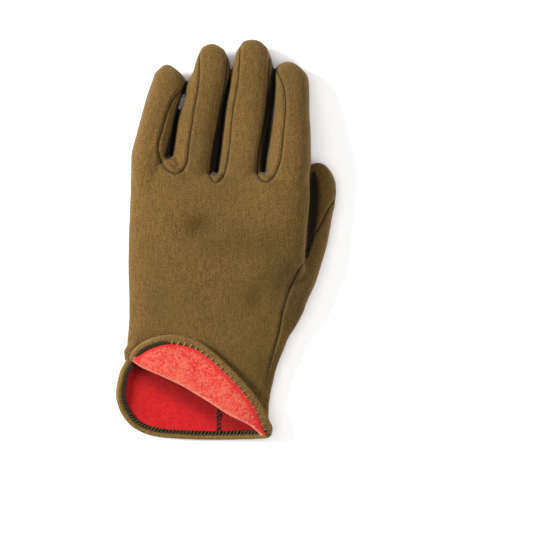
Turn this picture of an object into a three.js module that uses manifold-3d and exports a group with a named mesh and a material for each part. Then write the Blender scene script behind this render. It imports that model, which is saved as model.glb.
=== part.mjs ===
// Cotton work glove for the left hand, brown jersey with a red fleece lining in the cuff.
// It lies palm down with the fingers along +Y and the thumb at +X. Millimetres, +Z up.
// The back of the cuff is folded back over the hand along a slanted line.
import * as THREE from 'three';
import * as BufferGeometryUtils from 'three/addons/utils/BufferGeometryUtils.js';
import Module from 'manifold-3d';

// Driving sizes in millimetres
const gloveLength = 254;
const palmWidth = 112;
const handThickness = 28;
const fingerThickness = 23;
const pinkyWidth = 25.5;
const ringWidth = 29;
const middleWidth = 29.4;
const indexWidth = 26.5;
const thumbWidth = 27;
const thumbThickness = 16.4;
const indexSideLift = 8.8;
const jerseyWall = 1.5;
const liningWall = 1.5;
const seamGap = 0.3;
const hemWidth = 6;
const hemThickness = 4.2;
const foldRadius = 0.9;
const liningDepth = 92;
const roundness = 2.3;
const dimpleDepth = 1.8;

// Mesh fineness
const handSides = 24;
const digitSides = 11;
const flapColumns = 11;
const bendSteps = 4;
const hemSteps = 22;
const flapSpans = 4;
const middleColumns = 9;
const middleRows = 14;
const mouthSteps = 12;

// Colours and finishes
const jerseyLook = { color: 0x7a5d33, roughness: 0.95, metalness: 0 };
const liningLook = { color: 0xd8282c, roughness: 0.95, metalness: 0 };
const hemLook = { color: 0x7f6438, roughness: 0.9, metalness: 0 };

// Along: share of the glove's length from the hem, in percent.
// Left and right: the hand's edges in percent of the palm's width.
// Middle and half: height of the middle surface and half thickness, in percent of the hand's thickness.
const handRows = [
  { along: -8, left: -58, right: 27.5, middle: 28, half: 27 },
  { along: 0, left: -58, right: 29.5, middle: 28, half: 27 },
  { along: 7, left: -58, right: 28.2, middle: 28, half: 28 },
  { along: 12.6, left: -57.6, right: 29.4, middle: 29, half: 29 },
  { along: 19, left: -54.5, right: 33.2, middle: 31, half: 31 },
  { along: 25, left: -52.3, right: 38.6, middle: 34, half: 34.5 },
  { along: 32, left: -51.2, right: 44.4, middle: 38, half: 39.5 },
  { along: 38.6, left: -51.2, right: 47.2, middle: 42, half: 44.5 },
  { along: 45.2, left: -51.3, right: 48.2, middle: 45, half: 48.5 },
  { along: 52.9, left: -50.8, right: 49.6, middle: 46.5, half: 51 },
  { along: 61, left: -50.1, right: 51.2, middle: 46, half: 49.5 },
];
// The web between the fingers closes the hand: half is the share of the last row's thickness.
const webRows = [
  { along: 63.4, half: 95 },
  { along: 65.4, half: 82 },
  { along: 66.8, half: 58 },
  { along: 67.5, half: 25 },
];
const webEdges = { left: -48.6, right: 50 };
const pinkyWeb = { rise: 4.6, from: -16, to: -27 };

// Along and centre as above; width and thickness in percent of the digit's own width and thickness.
const digits = {
  pinky: {
    width: pinkyWidth,
    rows: [
      { along: 56, centre: -36, width: 50, thickness: 40 },
      { along: 61, centre: -38.4, width: 80, thickness: 77 },
      { along: 67.7, centre: -38.9, width: 95, thickness: 95 },
      { along: 72.4, centre: -38.1, width: 99, thickness: 97 },
      { along: 77.4, centre: -35.8, width: 90, thickness: 97 },
      { along: 82.4, centre: -33.1, width: 87, thickness: 94 },
      { along: 86.9, centre: -30, width: 87.5, thickness: 90 },
      { along: 90, centre: -28.5, width: 80, thickness: 80 },
      { along: 91.7, centre: -29.2, width: 63, thickness: 66 },
      { along: 93.1, centre: -29.4, width: 34, thickness: 38 },
    ],
    tip: { along: 93.9, centre: -29.6 },
  },
  ring: {
    width: ringWidth,
    rows: [
      { along: 56, centre: -14.3, width: 60, thickness: 50 },
      { along: 61, centre: -14.3, width: 84, thickness: 90 },
      { along: 67.7, centre: -14.1, width: 97.5, thickness: 99 },
      { along: 72.4, centre: -13.1, width: 99.5, thickness: 100 },
      { along: 77.4, centre: -11.8, width: 98.5, thickness: 100 },
      { along: 82.4, centre: -9.9, width: 93.5, thickness: 98 },
      { along: 86.9, centre: -7.4, width: 89, thickness: 96 },
      { along: 90.6, centre: -5.3, width: 84, thickness: 90 },
      { along: 94.8, centre: -3.8, width: 70, thickness: 74 },
      { along: 97.1, centre: -4.2, width: 54, thickness: 56 },
      { along: 98.3, centre: -4.4, width: 33, thickness: 36 },
    ],
    tip: { along: 99, centre: -4.4 },
  },
  middle: {
    width: middleWidth,
    rows: [
      { along: 56, centre: 12.1, width: 60, thickness: 50 },
      { along: 61, centre: 12.1, width: 84, thickness: 92 },
      { along: 67.7, centre: 12.1, width: 97, thickness: 100 },
      { along: 72.4, centre: 13.8, width: 98, thickness: 101 },
      { along: 77.4, centre: 15.2, width: 99, thickness: 101 },
      { along: 82.4, centre: 16.3, width: 99, thickness: 100 },
      { along: 87.7, centre: 17.9, width: 94, thickness: 97 },
      { along: 92, centre: 18.7, width: 87, thickness: 92 },
      { along: 95.1, centre: 19.2, width: 78, thickness: 82 },
      { along: 97.7, centre: 19, width: 62, thickness: 64 },
      { along: 99.3, centre: 18.7, width: 40, thickness: 42 },
    ],
    tip: { along: 100, centre: 18.4 },
  },
  index: {
    width: indexWidth,
    rows: [
      { along: 56, centre: 36, width: 50, thickness: 40 },
      { along: 61, centre: 38.6, width: 78, thickness: 77 },
      { along: 67.7, centre: 38.9, width: 106, thickness: 98 },
      { along: 72.4, centre: 39.9, width: 99, thickness: 98 },
      { along: 77.4, centre: 40.5, width: 91, thickness: 98 },
      { along: 82.4, centre: 40.7, width: 85, thickness: 96 },
      { along: 87.7, centre: 41.1, width: 81, thickness: 92 },
      { along: 90.6, centre: 40.7, width: 78, thickness: 84 },
      { along: 92.5, centre: 39.5, width: 64, thickness: 68 },
      { along: 93.8, centre: 38.9, width: 42, thickness: 46 },
    ],
    tip: { along: 94.6, centre: 38.9 },
  },
};
// The thumb lies on the surface, so its middle is its own half thickness times rise.
const thumbRows = [
  { along: 27.5, centre: 29, width: 50, thickness: 50, rise: 116 },
  { along: 31.5, centre: 33.8, width: 84, thickness: 88, rise: 114 },
  { along: 34.6, centre: 37, width: 104, thickness: 118, rise: 116 },
  { along: 38.6, centre: 40.8, width: 107, thickness: 118, rise: 116 },
  { along: 43.7, centre: 44.6, width: 107, thickness: 108, rise: 106 },
  { along: 49.2, centre: 49, width: 101.5, thickness: 101, rise: 99 },
  { along: 55.1, centre: 51.8, width: 98.5, thickness: 100, rise: 98 },
  { along: 60.6, centre: 54.1, width: 98.5, thickness: 99, rise: 98 },
  { along: 64.2, centre: 54.8, width: 92.5, thickness: 92, rise: 98 },
  { along: 66.7, centre: 55, width: 72, thickness: 74, rise: 98 },
  { along: 68.3, centre: 55.3, width: 46, thickness: 48, rise: 98 },
];
const thumbTip = { along: 69.3, centre: 55.5, rise: 98 };

// Middle heights past the knuckles, in percent of the hand's thickness
const fingerMiddles = [
  { along: 61, middle: 46 },
  { along: 72, middle: 44 },
  { along: 84, middle: 41 },
  { along: 100, middle: 39.5 },
];
// The hand leans on the thumb: the lift grows across the hand and fades along it.
const liftAcross = { from: 4, to: 46 };
const liftAlong = { from: 37, rise: 9, fade: 70, fall: 22 };

// Shallow dents in the back: place and radii in percent of the palm's width and the glove's length
const dents = [
  { across: -10.3, along: 52.7, acrossRadius: 12, alongRadius: 3.6, depth: 1 },
  { across: 20, along: 36.5, acrossRadius: 7, alongRadius: 4.5, depth: 0.35 },
  { across: -30, along: 33, acrossRadius: 9, alongRadius: 6, depth: 0.3 },
];

// Seam on the backs of the fingers, from the pinky's outer side to the hem at the thumb side
const backSeam = [
  { across: -75, along: 96 }, { across: -25, along: 96 }, { across: -18.6, along: 89.2 },
  { across: -26.2, along: 84.6 }, { across: -31.8, along: 77.3 }, { across: -34.1, along: 72.6 },
  { across: -32.2, along: 69.2 }, { across: -27.9, along: 66.9 }, { across: -22.6, along: 66.4 },
  { across: -18.3, along: 68.6 }, { across: -16.8, along: 73.4 }, { across: -14, along: 81.6 },
  { across: -11.2, along: 89.8 }, { across: -11.2, along: 96 }, { across: -12, along: 103 },
  { across: 2, along: 103 }, { across: 4.2, along: 96 }, { across: 3.4, along: 89.5 },
  { across: 0, along: 81.6 }, { across: -3.4, along: 72.4 }, { across: -5, along: 67 },
  { across: -4, along: 64.9 }, { across: -1.6, along: 64.1 }, { across: 1.6, along: 65 },
  { across: 3.8, along: 67.6 }, { across: 6, along: 73.4 }, { across: 7.7, along: 81.6 },
  { across: 10.8, along: 89.8 }, { across: 11.7, along: 97 }, { across: 11.7, along: 104 },
  { across: 28, along: 104 }, { across: 28.6, along: 97 }, { across: 27.8, along: 91 },
  { across: 25.6, along: 79.8 }, { across: 22.4, along: 72.4 }, { across: 21.6, along: 67.4 },
  { across: 23.2, along: 65 }, { across: 26.6, along: 64.2 }, { across: 30.2, along: 65.2 },
  { across: 34.2, along: 69.1 }, { across: 36, along: 75.4 }, { across: 37.4, along: 83.6 },
  { across: 36, along: 88.3 }, { across: 32.2, along: 92.4 }, { across: 29.5, along: 98 },
  { across: 75, along: 98 }, { across: 75, along: 46 }, { across: 48.2, along: 44.7 },
  { across: 43.4, along: 41.5 }, { across: 40, along: 38 }, { across: 38.3, along: 35.8 },
  { across: 35.4, along: 31.5 }, { across: 33.6, along: 27.1 }, { across: 31.2, along: 23.3 },
  { across: 27.8, along: 17.1 }, { across: 25.6, along: 10.1 }, { across: 25.6, along: -12 },
  { across: -75, along: -12 },
];
// Seam in the palm that parts the thumb strip, and the slanted seam on the back of the thumb
const thumbStrip = [
  { across: 35.4, along: 45.4 }, { across: 27.5, along: 37.5 }, { across: 19.6, along: 27.3 },
  { across: 10.6, along: 15.9 }, { across: 2.7, along: 5.9 }, { across: -0.6, along: -12 },
  { across: 90, along: -12 }, { across: 90, along: 45.4 },
];
const thumbSeam = [
  { across: 90, along: 61 }, { across: 66.5, along: 60.9 }, { across: 60.9, along: 57.2 },
  { across: 56.4, along: 53.2 }, { across: 53, along: 51 }, { across: 50.2, along: 47.8 },
  { across: 44, along: 47.2 }, { across: 30, along: 47.2 }, { across: 30, along: 75 },
  { across: 90, along: 75 },
];

// Fold line of the cuff between its corners, bowed towards the fingers, and the outer edges of the mouth
const foldLeft = { across: -49.9, along: 20.1 };
const foldRight = { across: 24.7, along: 1.9 };
const foldBow = 2.4;
const mouthMiddle = { across: -12, along: 12 };
const flapEdge = [
  { across: -51.4, along: 20.4 }, { across: -48.5, along: 22.6 }, { across: -42, along: 24.8 },
  { across: -31.3, along: 26.3 }, { across: -22.8, along: 26.3 }, { across: -10.9, along: 24.8 },
  { across: -2.4, along: 22.1 }, { across: 8.3, along: 17.6 }, { across: 19.1, along: 12.1 },
  { across: 25.6, along: 7.4 }, { across: 29.4, along: 3.4 }, { across: 29.8, along: 1.9 },
];
const palmEdge = [
  { across: -52.4, along: 20.6 }, { across: -55.4, along: 17.6 }, { across: -57.4, along: 14.4 },
  { across: -58.1, along: 10.9 }, { across: -56.1, along: 7.1 }, { across: -49.9, along: 3.4 },
  { across: -40, along: 1.2 }, { across: -24.2, along: 0.3 }, { across: -6.4, along: 0 },
  { across: 11.7, along: 0.1 }, { across: 22, along: 0.4 }, { across: 29.4, along: 0.9 },
];

// Section of the hem band: depth from its outer border and height to each side, as shares of its own size
const hemProfile = [
  { depth: 0, side: 0.45 }, { depth: 0.22, side: 0.92 }, { depth: 0.6, side: 1 },
  { depth: 1, side: 0.84 }, { depth: 1, side: -0.84 }, { depth: 0.6, side: -1 },
  { depth: 0.22, side: -0.92 }, { depth: 0, side: -0.45 },
];
// Share of each half of the hem over which it comes together at a corner of the mouth
const cornerShare = 0.09;
// The flap starts and ends this share of the fold line from its corners.
const flapMargin = 0.03;
const flapRoot = 3;
const shortestFlap = 0.6;
const thumbMargin = 1;
const crumbVolume = 3;

const percent = 0.01;
const halfGap = seamGap / 2;
const stackHeight = jerseyWall + seamGap + liningWall;
const liningInset = jerseyWall + seamGap;
// Limits of the cutting shapes, clear of the glove on every side
const reach = { left: -95, right: 95, near: -30, far: 120 };
const middleGrid = { left: -76, right: 76, near: -12.5, far: 106 };
const farBelow = -handThickness;
const farAbove = 3 * handThickness;
const wasm = await Module();
wasm.setup();

function across(share) {
  return share * percent * palmWidth;
}

function along(share) {
  return share * percent * gloveLength;
}

function smoothStep(value) {
  const t = Math.min(Math.max(value, 0), 1);
  return t * t * (3 - 2 * t);
}

// Value of one column at a place along the glove, on a smooth curve through the rows
function columnAt(rows, key, place) {
  const last = rows.length - 1;
  let index = 0;
  while (index < last - 1 && place > rows[index + 1].along) index += 1;
  const before = rows[Math.max(index - 1, 0)];
  const start = rows[index];
  const end = rows[index + 1];
  const after = rows[Math.min(index + 2, last)];
  const span = end.along - start.along;
  const t = Math.min(Math.max((place - start.along) / span, 0), 1);
  const startSlope = ((end[key] - before[key]) / (end.along - before.along)) * span;
  const endSlope = ((after[key] - start[key]) / (after.along - start.along)) * span;
  const t2 = t * t;
  const t3 = t2 * t;
  return (2 * t3 - 3 * t2 + 1) * start[key] + (t3 - 2 * t2 + t) * startSlope
    + (-2 * t3 + 3 * t2) * end[key] + (t3 - t2) * endSlope;
}

// Height of the surface half way between palm and back
function middleHeight(x, y) {
  const place = y / (percent * gloveLength);
  const rows = place < fingerMiddles[0].along ? handRows : fingerMiddles;
  const base = columnAt(rows, 'middle', place) * percent * handThickness;
  const side = x / (percent * palmWidth);
  const acrossShare = smoothStep((side - liftAcross.from) / (liftAcross.to - liftAcross.from));
  const rising = smoothStep((place - liftAlong.from) / liftAlong.rise);
  const fading = 1 - smoothStep((place - liftAlong.fade) / liftAlong.fall);
  return base + indexSideLift * acrossShare * Math.min(rising, fading);
}

function dentAt(x, y) {
  let depth = 0;
  for (const dent of dents) {
    const u = (x - across(dent.across)) / across(dent.acrossRadius);
    const v = (y - along(dent.along)) / along(dent.alongRadius);
    depth += dimpleDepth * dent.depth * Math.exp(-(u * u + v * v));
  }
  return depth;
}

function roundedPower(value) {
  return Math.sign(value) * Math.abs(value) ** (2 / roundness);
}

// Centre and half sizes of the hand's section at a height along the glove
function handSection(y) {
  const place = y / (percent * gloveLength);
  const left = across(columnAt(handRows, 'left', place));
  const right = across(columnAt(handRows, 'right', place));
  return {
    centre: (left + right) / 2,
    halfWidth: (right - left) / 2,
    half: columnAt(handRows, 'half', place) * percent * handThickness,
  };
}

// Height of the hand's outer surface on the back side, side 1, or on the palm side, side -1
function handHeight(x, y, side) {
  const section = handSection(y);
  const u = Math.min(Math.abs(x - section.centre) / section.halfWidth, 1);
  const share = (1 - u ** roundness) ** (1 / roundness);
  const dent = side > 0 ? dentAt(x, y) * share : 0;
  return Math.max(middleHeight(x, y) + side * section.half * share - dent, 0);
}

// One ring of a section, set in from the outer surface by a depth
function sectionRing({ y, centre, halfWidth, half, sides, inset, middle, rise }) {
  const ring = [];
  for (let i = 0; i < sides; i += 1) {
    const angle = (2 * Math.PI * i) / sides;
    const x = centre + halfWidth * roundedPower(Math.cos(angle));
    const lift = roundedPower(Math.sin(angle));
    const yHere = y + (rise ? rise(x) : 0);
    const mid = middle === undefined ? middleHeight(x, yHere) : middle;
    const dent = middle === undefined && lift > 0 ? dentAt(x, yHere) * lift : 0;
    ring.push(new THREE.Vector3(x, yHere, Math.max(mid + half * lift - dent, inset)));
  }
  return ring;
}

// Closed surface through rings, with a flat or pointed end at each side
function loftGeometry(rings, startPoint, endPoint) {
  const sides = rings[0].length;
  const points = [startPoint, ...rings.flat(), endPoint];
  const last = points.length - 1;
  const triangles = [];
  for (let i = 0; i < sides; i += 1) {
    const next = (i + 1) % sides;
    triangles.push(0, 1 + i, 1 + next);
    const base = 1 + (rings.length - 1) * sides;
    triangles.push(last, base + next, base + i);
    for (let row = 0; row < rings.length - 1; row += 1) {
      const a = 1 + row * sides;
      const b = a + sides;
      triangles.push(a + i, b + i, b + next, a + i, b + next, a + next);
    }
  }
  return indexedGeometry(points, triangles);
}

function indexedGeometry(points, triangles) {
  const geometry = new THREE.BufferGeometry();
  const values = points.flatMap((point) => [point.x, point.y, point.z]);
  geometry.setAttribute('position', new THREE.Float32BufferAttribute(values, 3));
  geometry.setIndex(triangles);
  return geometry;
}

function ringCentre(ring) {
  const centre = new THREE.Vector3();
  ring.forEach((point) => centre.add(point));
  return centre.divideScalar(ring.length);
}

// Solid from a closed geometry, turned so that its faces point out
function solidOf(geometry) {
  const bare = geometry.clone();
  bare.deleteAttribute('normal');
  bare.deleteAttribute('uv');
  const merged = BufferGeometryUtils.mergeVertices(bare, 1e-4);
  const vertProperties = new Float32Array(merged.attributes.position.array);
  const triVerts = new Uint32Array(merged.index.array);
  let volume = 0;
  const corner = (n) => new THREE.Vector3().fromArray(vertProperties, 3 * triVerts[n]);
  for (let i = 0; i < triVerts.length; i += 3) {
    volume += corner(i).dot(corner(i + 1).cross(corner(i + 2)));
  }
  if (volume < 0) triVerts.reverse();
  return new wasm.Manifold(new wasm.Mesh({ numProp: 3, vertProperties, triVerts }));
}

// A solid without the crumbs that a cut through a faceted wall can leave
function withoutCrumbs(solid) {
  const bodies = solid.decompose().filter((body) => body.volume() > crumbVolume);
  return bodies.reduce((whole, body) => whole.add(body));
}

function meshOf(name, solid, look) {
  const result = withoutCrumbs(solid).getMesh();
  const geometry = new THREE.BufferGeometry();
  geometry.setAttribute('position', new THREE.Float32BufferAttribute(result.vertProperties, 3));
  geometry.setIndex(Array.from(result.triVerts));
  geometry.computeVertexNormals();
  const mesh = new THREE.Mesh(geometry, new THREE.MeshStandardMaterial(look));
  mesh.name = name;
  return mesh;
}

// Ring of the closing web, whose thickness is a share of the last hand row's
function webRing(row, webShare, inset) {
  const left = across(webEdges.left);
  const right = across(webEdges.right);
  const lastRow = handRows[handRows.length - 1];
  return sectionRing({
    y: along(row.along) - inset,
    centre: (left + right) / 2,
    halfWidth: (right - left) / 2 - inset,
    half: (lastRow.half * percent * handThickness - inset) * row.half * percent,
    sides: handSides,
    inset,
    rise: (x) => webShare * webRise(x),
  });
}

// Hand without fingers, from past the mouth to the web between the fingers
function handSolid(inset) {
  const rings = handRows.map((row, index) => {
    const y = along(row.along) - (index === 0 ? inset : 0);
    const section = handSection(y);
    return sectionRing({
      y,
      centre: section.centre,
      halfWidth: section.halfWidth - inset,
      half: section.half - inset,
      sides: handSides,
      inset,
    });
  });
  webRows.forEach((row, index) => {
    rings.push(webRing(row, (index + 1) / webRows.length, inset));
  });
  return solidOf(loftGeometry(rings, ringCentre(rings[0]), ringCentre(rings[rings.length - 1])));
}

// The web between pinky and ring finger stands further out than the others.
function webRise(x) {
  const side = x / (percent * palmWidth);
  return along(pinkyWeb.rise) * smoothStep((pinkyWeb.from - side) / (pinkyWeb.from - pinkyWeb.to));
}

function digitSolid({ rows, tip, width, thickness, inset, ownMiddle }) {
  const widest = (Math.max(...rows.map((row) => row.width)) * percent * width) / 2;
  const thickest = (Math.max(...rows.map((row) => row.thickness)) * percent * thickness) / 2;
  const root = along(rows[0].along);
  const digitLength = along(tip.along) - root;
  const place = (value) => root + (along(value) - root) * (1 - inset / digitLength);
  const middleOf = (row) => (ownMiddle ? (row.rise * percent * thickness) / 2 : undefined);
  const rings = rows.map((row) => sectionRing({
    y: place(row.along),
    centre: across(row.centre),
    halfWidth: ((row.width * percent * width) / 2) * (1 - inset / widest),
    half: ((row.thickness * percent * thickness) / 2) * (1 - inset / thickest),
    sides: digitSides,
    inset: Math.max(inset, 0),
    middle: middleOf(row),
  }));
  const tipY = place(tip.along);
  const tipX = across(tip.centre);
  const tipMiddle = ownMiddle ? middleOf(tip) : middleHeight(tipX, tipY);
  const end = new THREE.Vector3(tipX, tipY, tipMiddle);
  return solidOf(loftGeometry(rings, ringCentre(rings[0]), end));
}

function thumbSolid(inset) {
  return digitSolid({
    rows: thumbRows,
    tip: thumbTip,
    width: thumbWidth,
    thickness: thumbThickness,
    inset,
    ownMiddle: true,
  });
}

function gloveForm(inset) {
  let form = handSolid(inset);
  for (const digit of Object.values(digits)) {
    form = form.add(digitSolid({ ...digit, thickness: fingerThickness, inset }));
  }
  return form.add(thumbSolid(inset));
}

// Plan outlines
function planPoint(row) {
  return new THREE.Vector2(across(row.across), along(row.along));
}

function grownOutline(points, growth) {
  const count = points.length;
  const turning = THREE.ShapeUtils.area(points) > 0 ? 1 : -1;
  return points.map((point, index) => {
    const before = points[(index + count - 1) % count];
    const after = points[(index + 1) % count];
    const into = point.clone().sub(before).normalize();
    const out = after.clone().sub(point).normalize();
    const bisector = new THREE.Vector2(into.y + out.y, -into.x - out.x).multiplyScalar(turning);
    const length = bisector.length() || 1;
    const normal = bisector.divideScalar(length);
    const stretch = 1 / Math.max(length / 2, 0.5);
    return point.clone().addScaledVector(normal, growth * stretch);
  });
}

function prism(points, low = farBelow) {
  const geometry = new THREE.ExtrudeGeometry(new THREE.Shape(points), {
    depth: farAbove - low,
    bevelEnabled: false,
  });
  geometry.translate(0, 0, low);
  return solidOf(geometry);
}

// Everything above the middle surface, moved up by an offset
function aboveMiddle(offset) {
  const top = [];
  const bottom = [];
  for (let j = 0; j <= middleRows; j += 1) {
    for (let i = 0; i <= middleColumns; i += 1) {
      const x = across(THREE.MathUtils.lerp(middleGrid.left, middleGrid.right, i / middleColumns));
      const y = along(THREE.MathUtils.lerp(middleGrid.near, middleGrid.far, j / middleRows));
      bottom.push(new THREE.Vector3(x, y, middleHeight(x, y) + offset));
      top.push(new THREE.Vector3(x, y, farAbove));
    }
  }
  return slabSolid(top, bottom, middleColumns, middleRows);
}

// Closed solid between two grids of points with the same rows and columns
function slabSolid(top, bottom, columns, rows) {
  const stride = columns + 1;
  const points = [...top, ...bottom];
  const lower = top.length;
  const triangles = [];
  const quad = (a, b, c, d) => triangles.push(a, b, c, a, c, d);
  for (let j = 0; j < rows; j += 1) {
    for (let i = 0; i < columns; i += 1) {
      const a = j * stride + i;
      quad(a, a + 1, a + 1 + stride, a + stride);
      quad(lower + a, lower + a + stride, lower + a + 1 + stride, lower + a + 1);
    }
  }
  for (let i = 0; i < columns; i += 1) {
    const far = rows * stride + i;
    quad(i, lower + i, lower + i + 1, i + 1);
    quad(far, far + 1, lower + far + 1, lower + far);
  }
  for (let j = 0; j < rows; j += 1) {
    const left = j * stride;
    const right = left + columns;
    quad(left, left + stride, lower + left + stride, lower + left);
    quad(right, lower + right, lower + right + stride, right + stride);
  }
  return solidOf(indexedGeometry(points, triangles));
}

// Edges of the mouth as smooth curves on the ground plane
function groundPoint(row) {
  return new THREE.Vector3(across(row.across), along(row.along), 0);
}

const flapCurve = new THREE.CatmullRomCurve3(flapEdge.map(groundPoint), false, 'centripetal');
const palmCurve = new THREE.CatmullRomCurve3(palmEdge.map(groundPoint), false, 'centripetal');

function foldPoint(share) {
  const start = planPoint(foldLeft);
  const end = planPoint(foldRight);
  const direction = end.clone().sub(start).normalize();
  const towardsFingers = new THREE.Vector2(-direction.y, direction.x);
  const bow = 4 * share * (1 - share) * foldBow;
  return start.lerp(end, share).addScaledVector(towardsFingers, bow);
}

function flapPoint(share) {
  const point = flapCurve.getPoint(share);
  return new THREE.Vector2(point.x, point.y);
}

// Sheet that comes out of the back, turns round the fold and lies back over the hand.
// The face towards the bend is inner and the other face is inner plus wall away from its centre.
function foldedSheet(inner, wall) {
  const rows = 1 + bendSteps + flapSpans;
  const faces = { near: [], far: [] };
  for (let i = 0; i <= flapColumns; i += 1) {
    const share = flapMargin + ((1 - 2 * flapMargin) * i) / flapColumns;
    const fold = foldPoint(share);
    const edge = flapPoint(share);
    const outward = fold.clone().sub(edge).normalize();
    const flapLength = Math.max(fold.distanceTo(edge) - hemWidth / 2, shortestFlap);
    const axisHeight = handHeight(fold.x, fold.y, 1) + foldRadius;
    for (const [face, radius] of [['near', inner], ['far', inner + wall]]) {
      const column = [];
      const root = fold.clone().addScaledVector(outward, -flapRoot);
      column.push(new THREE.Vector3(root.x, root.y, handHeight(root.x, root.y, 1) + foldRadius - radius));
      for (let step = 0; step <= bendSteps; step += 1) {
        const angle = -Math.PI / 2 + (Math.PI * step) / bendSteps;
        const place = fold.clone().addScaledVector(outward, radius * Math.cos(angle));
        column.push(new THREE.Vector3(place.x, place.y, axisHeight + radius * Math.sin(angle)));
      }
      for (let step = 1; step <= flapSpans; step += 1) {
        const place = fold.clone().addScaledVector(outward, (-flapLength * step) / flapSpans);
        const height = handHeight(place.x, place.y, 1) + foldRadius + radius;
        column.push(new THREE.Vector3(place.x, place.y, height));
      }
      faces[face].push(...column);
    }
  }
  return slabSolid(faces.near, faces.far, rows, flapColumns);
}

// Band along an edge: outer and inner are the middles of its two borders
function bandSolid(outer, inner, width, thickness) {
  const rings = outer.map((edge, index) => {
    const before = outer[Math.max(index - 1, 0)];
    const after = outer[Math.min(index + 1, outer.length - 1)];
    const tangent = after.clone().sub(before).normalize();
    const inward = inner[index].clone().sub(edge);
    inward.addScaledVector(tangent, -inward.dot(tangent)).normalize();
    const normal = tangent.clone().cross(inward).normalize();
    if (normal.z < 0) normal.negate();
    return hemProfile.map(({ depth, side }) => {
      const point = edge.clone().addScaledVector(inward, depth * width);
      point.addScaledVector(normal, (side * thickness) / 2);
      point.z = Math.max(point.z, 0);
      return point;
    });
  });
  return solidOf(loftGeometry(rings, ringCentre(rings[0]), ringCentre(rings[rings.length - 1])));
}

// Direction along the ground from a curve's edge towards the cloth
function inwardAt(curve, share, aim) {
  const tangent = curve.getTangent(share);
  const inward = new THREE.Vector3(-tangent.y, tangent.x, 0);
  if (inward.dot(aim.clone().sub(curve.getPoint(share))) < 0) inward.negate();
  return inward;
}

// Border points of the hem on the palm side or on the flap, the band running in from the mouth's edge
function hemBorders(curve, target, heightAt, growth) {
  const outer = [];
  const inner = [];
  for (let step = 0; step <= hemSteps; step += 1) {
    const share = step / hemSteps;
    const corner = 1 - smoothStep(Math.min(share, 1 - share) / cornerShare);
    const edge = curve.getPoint(share);
    const inward = inwardAt(curve, share, target(share));
    const start = edge.clone().addScaledVector(inward, -growth);
    const end = edge.clone().addScaledVector(inward, hemWidth + growth);
    for (const point of [start, end]) {
      const cornerHeight = middleHeight(edge.x, edge.y) + stackHeight / 2;
      point.z = THREE.MathUtils.lerp(heightAt(point.x, point.y), cornerHeight, corner);
    }
    outer.push(start);
    inner.push(end);
  }
  return { outer, inner };
}

function hemSolid(growth) {
  const palmHeight = (x, y) => Math.max(handHeight(x, y, -1) + stackHeight / 2, hemThickness / 2);
  const flapHeight = (x, y) => handHeight(x, y, 1) + 2 * foldRadius + stackHeight / 2;
  const palm = hemBorders(palmCurve, () => groundPoint(mouthMiddle), palmHeight, growth);
  const flap = hemBorders(flapCurve, (share) => {
    const fold = foldPoint(share);
    return new THREE.Vector3(fold.x, fold.y, 0);
  }, flapHeight, growth);
  const width = hemWidth + 2 * growth;
  const thickness = hemThickness + 2 * growth;
  return bandSolid(palm.outer, palm.inner, width, thickness)
    .add(bandSolid(flap.outer, flap.inner, width, thickness));
}

// Plan area in front of the fold line, where the back of the cuff is missing
function mouthOutline(shift) {
  const points = [];
  for (let step = 0; step <= mouthSteps; step += 1) {
    const point = foldPoint(step / mouthSteps);
    points.push(new THREE.Vector2(point.x, point.y - shift));
  }
  const last = points[points.length - 1];
  return [
    new THREE.Vector2(across(reach.left), points[0].y), ...points,
    new THREE.Vector2(across(reach.right), last.y),
    new THREE.Vector2(across(reach.right), along(reach.near)),
    new THREE.Vector2(across(reach.left), along(reach.near)),
  ];
}

// Plan area of the whole glove, cut along the middle of the palm hem
function trimOutline() {
  const points = [];
  for (let step = 0; step <= hemSteps; step += 1) {
    const share = step / hemSteps;
    const point = palmCurve.getPoint(share);
    point.addScaledVector(inwardAt(palmCurve, share, groundPoint(mouthMiddle)), hemWidth / 2);
    points.push(new THREE.Vector2(point.x, point.y));
  }
  return [
    new THREE.Vector2(across(reach.left), points[0].y), ...points,
    new THREE.Vector2(across(reach.right), points[points.length - 1].y),
    new THREE.Vector2(across(reach.right), along(reach.far)),
    new THREE.Vector2(across(reach.left), along(reach.far)),
  ];
}

const trim = prism(trimOutline());
const hem = hemSolid(0);
const hemRoom = hemSolid(seamGap).add(hemSolid(halfGap)).add(hem);

// Jersey shell, open at the mouth and along the fold
const mouthCut = prism(mouthOutline(0)).intersect(aboveMiddle(-halfGap));
const jerseyTube = gloveForm(0).subtract(gloveForm(jerseyWall)).intersect(trim);
const jerseyShell = jerseyTube.subtract(mouthCut).subtract(hemRoom);

// Panels, parted along the seams
const seamOutline = backSeam.map(planPoint);
const backRegion = prism(grownOutline(seamOutline, -halfGap)).intersect(aboveMiddle(halfGap));
const backRoom = prism(grownOutline(seamOutline, halfGap)).intersect(aboveMiddle(-halfGap));
const flapJersey = foldedSheet(foldRadius, jerseyWall);
const flapOverHand = flapJersey.subtract(hemRoom).subtract(handSolid(jerseyWall));
const backPanel = jerseyShell.intersect(backRegion).add(flapOverHand);
const restOfShell = jerseyShell.subtract(backRoom);

const stripOutline = thumbStrip.map(planPoint);
const thumbRegion = prism(grownOutline(stripOutline, -halfGap)).add(thumbSolid(halfGap - thumbMargin));
const thumbRoom = prism(grownOutline(stripOutline, halfGap)).add(thumbSolid(-halfGap - thumbMargin));
const palmPanel = restOfShell.subtract(thumbRoom);
const thumbShell = restOfShell.intersect(thumbRegion);

const thumbOutline = thumbSeam.map(planPoint);
const thumbMiddle = thumbThickness / 2;
const thumbBackRegion = prism(grownOutline(thumbOutline, -halfGap), thumbMiddle + halfGap);
const thumbBackRoom = prism(grownOutline(thumbOutline, halfGap), thumbMiddle - halfGap);
const thumbBack = thumbShell.intersect(thumbBackRegion);
const thumbPanel = thumbShell.subtract(thumbBackRoom);

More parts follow.
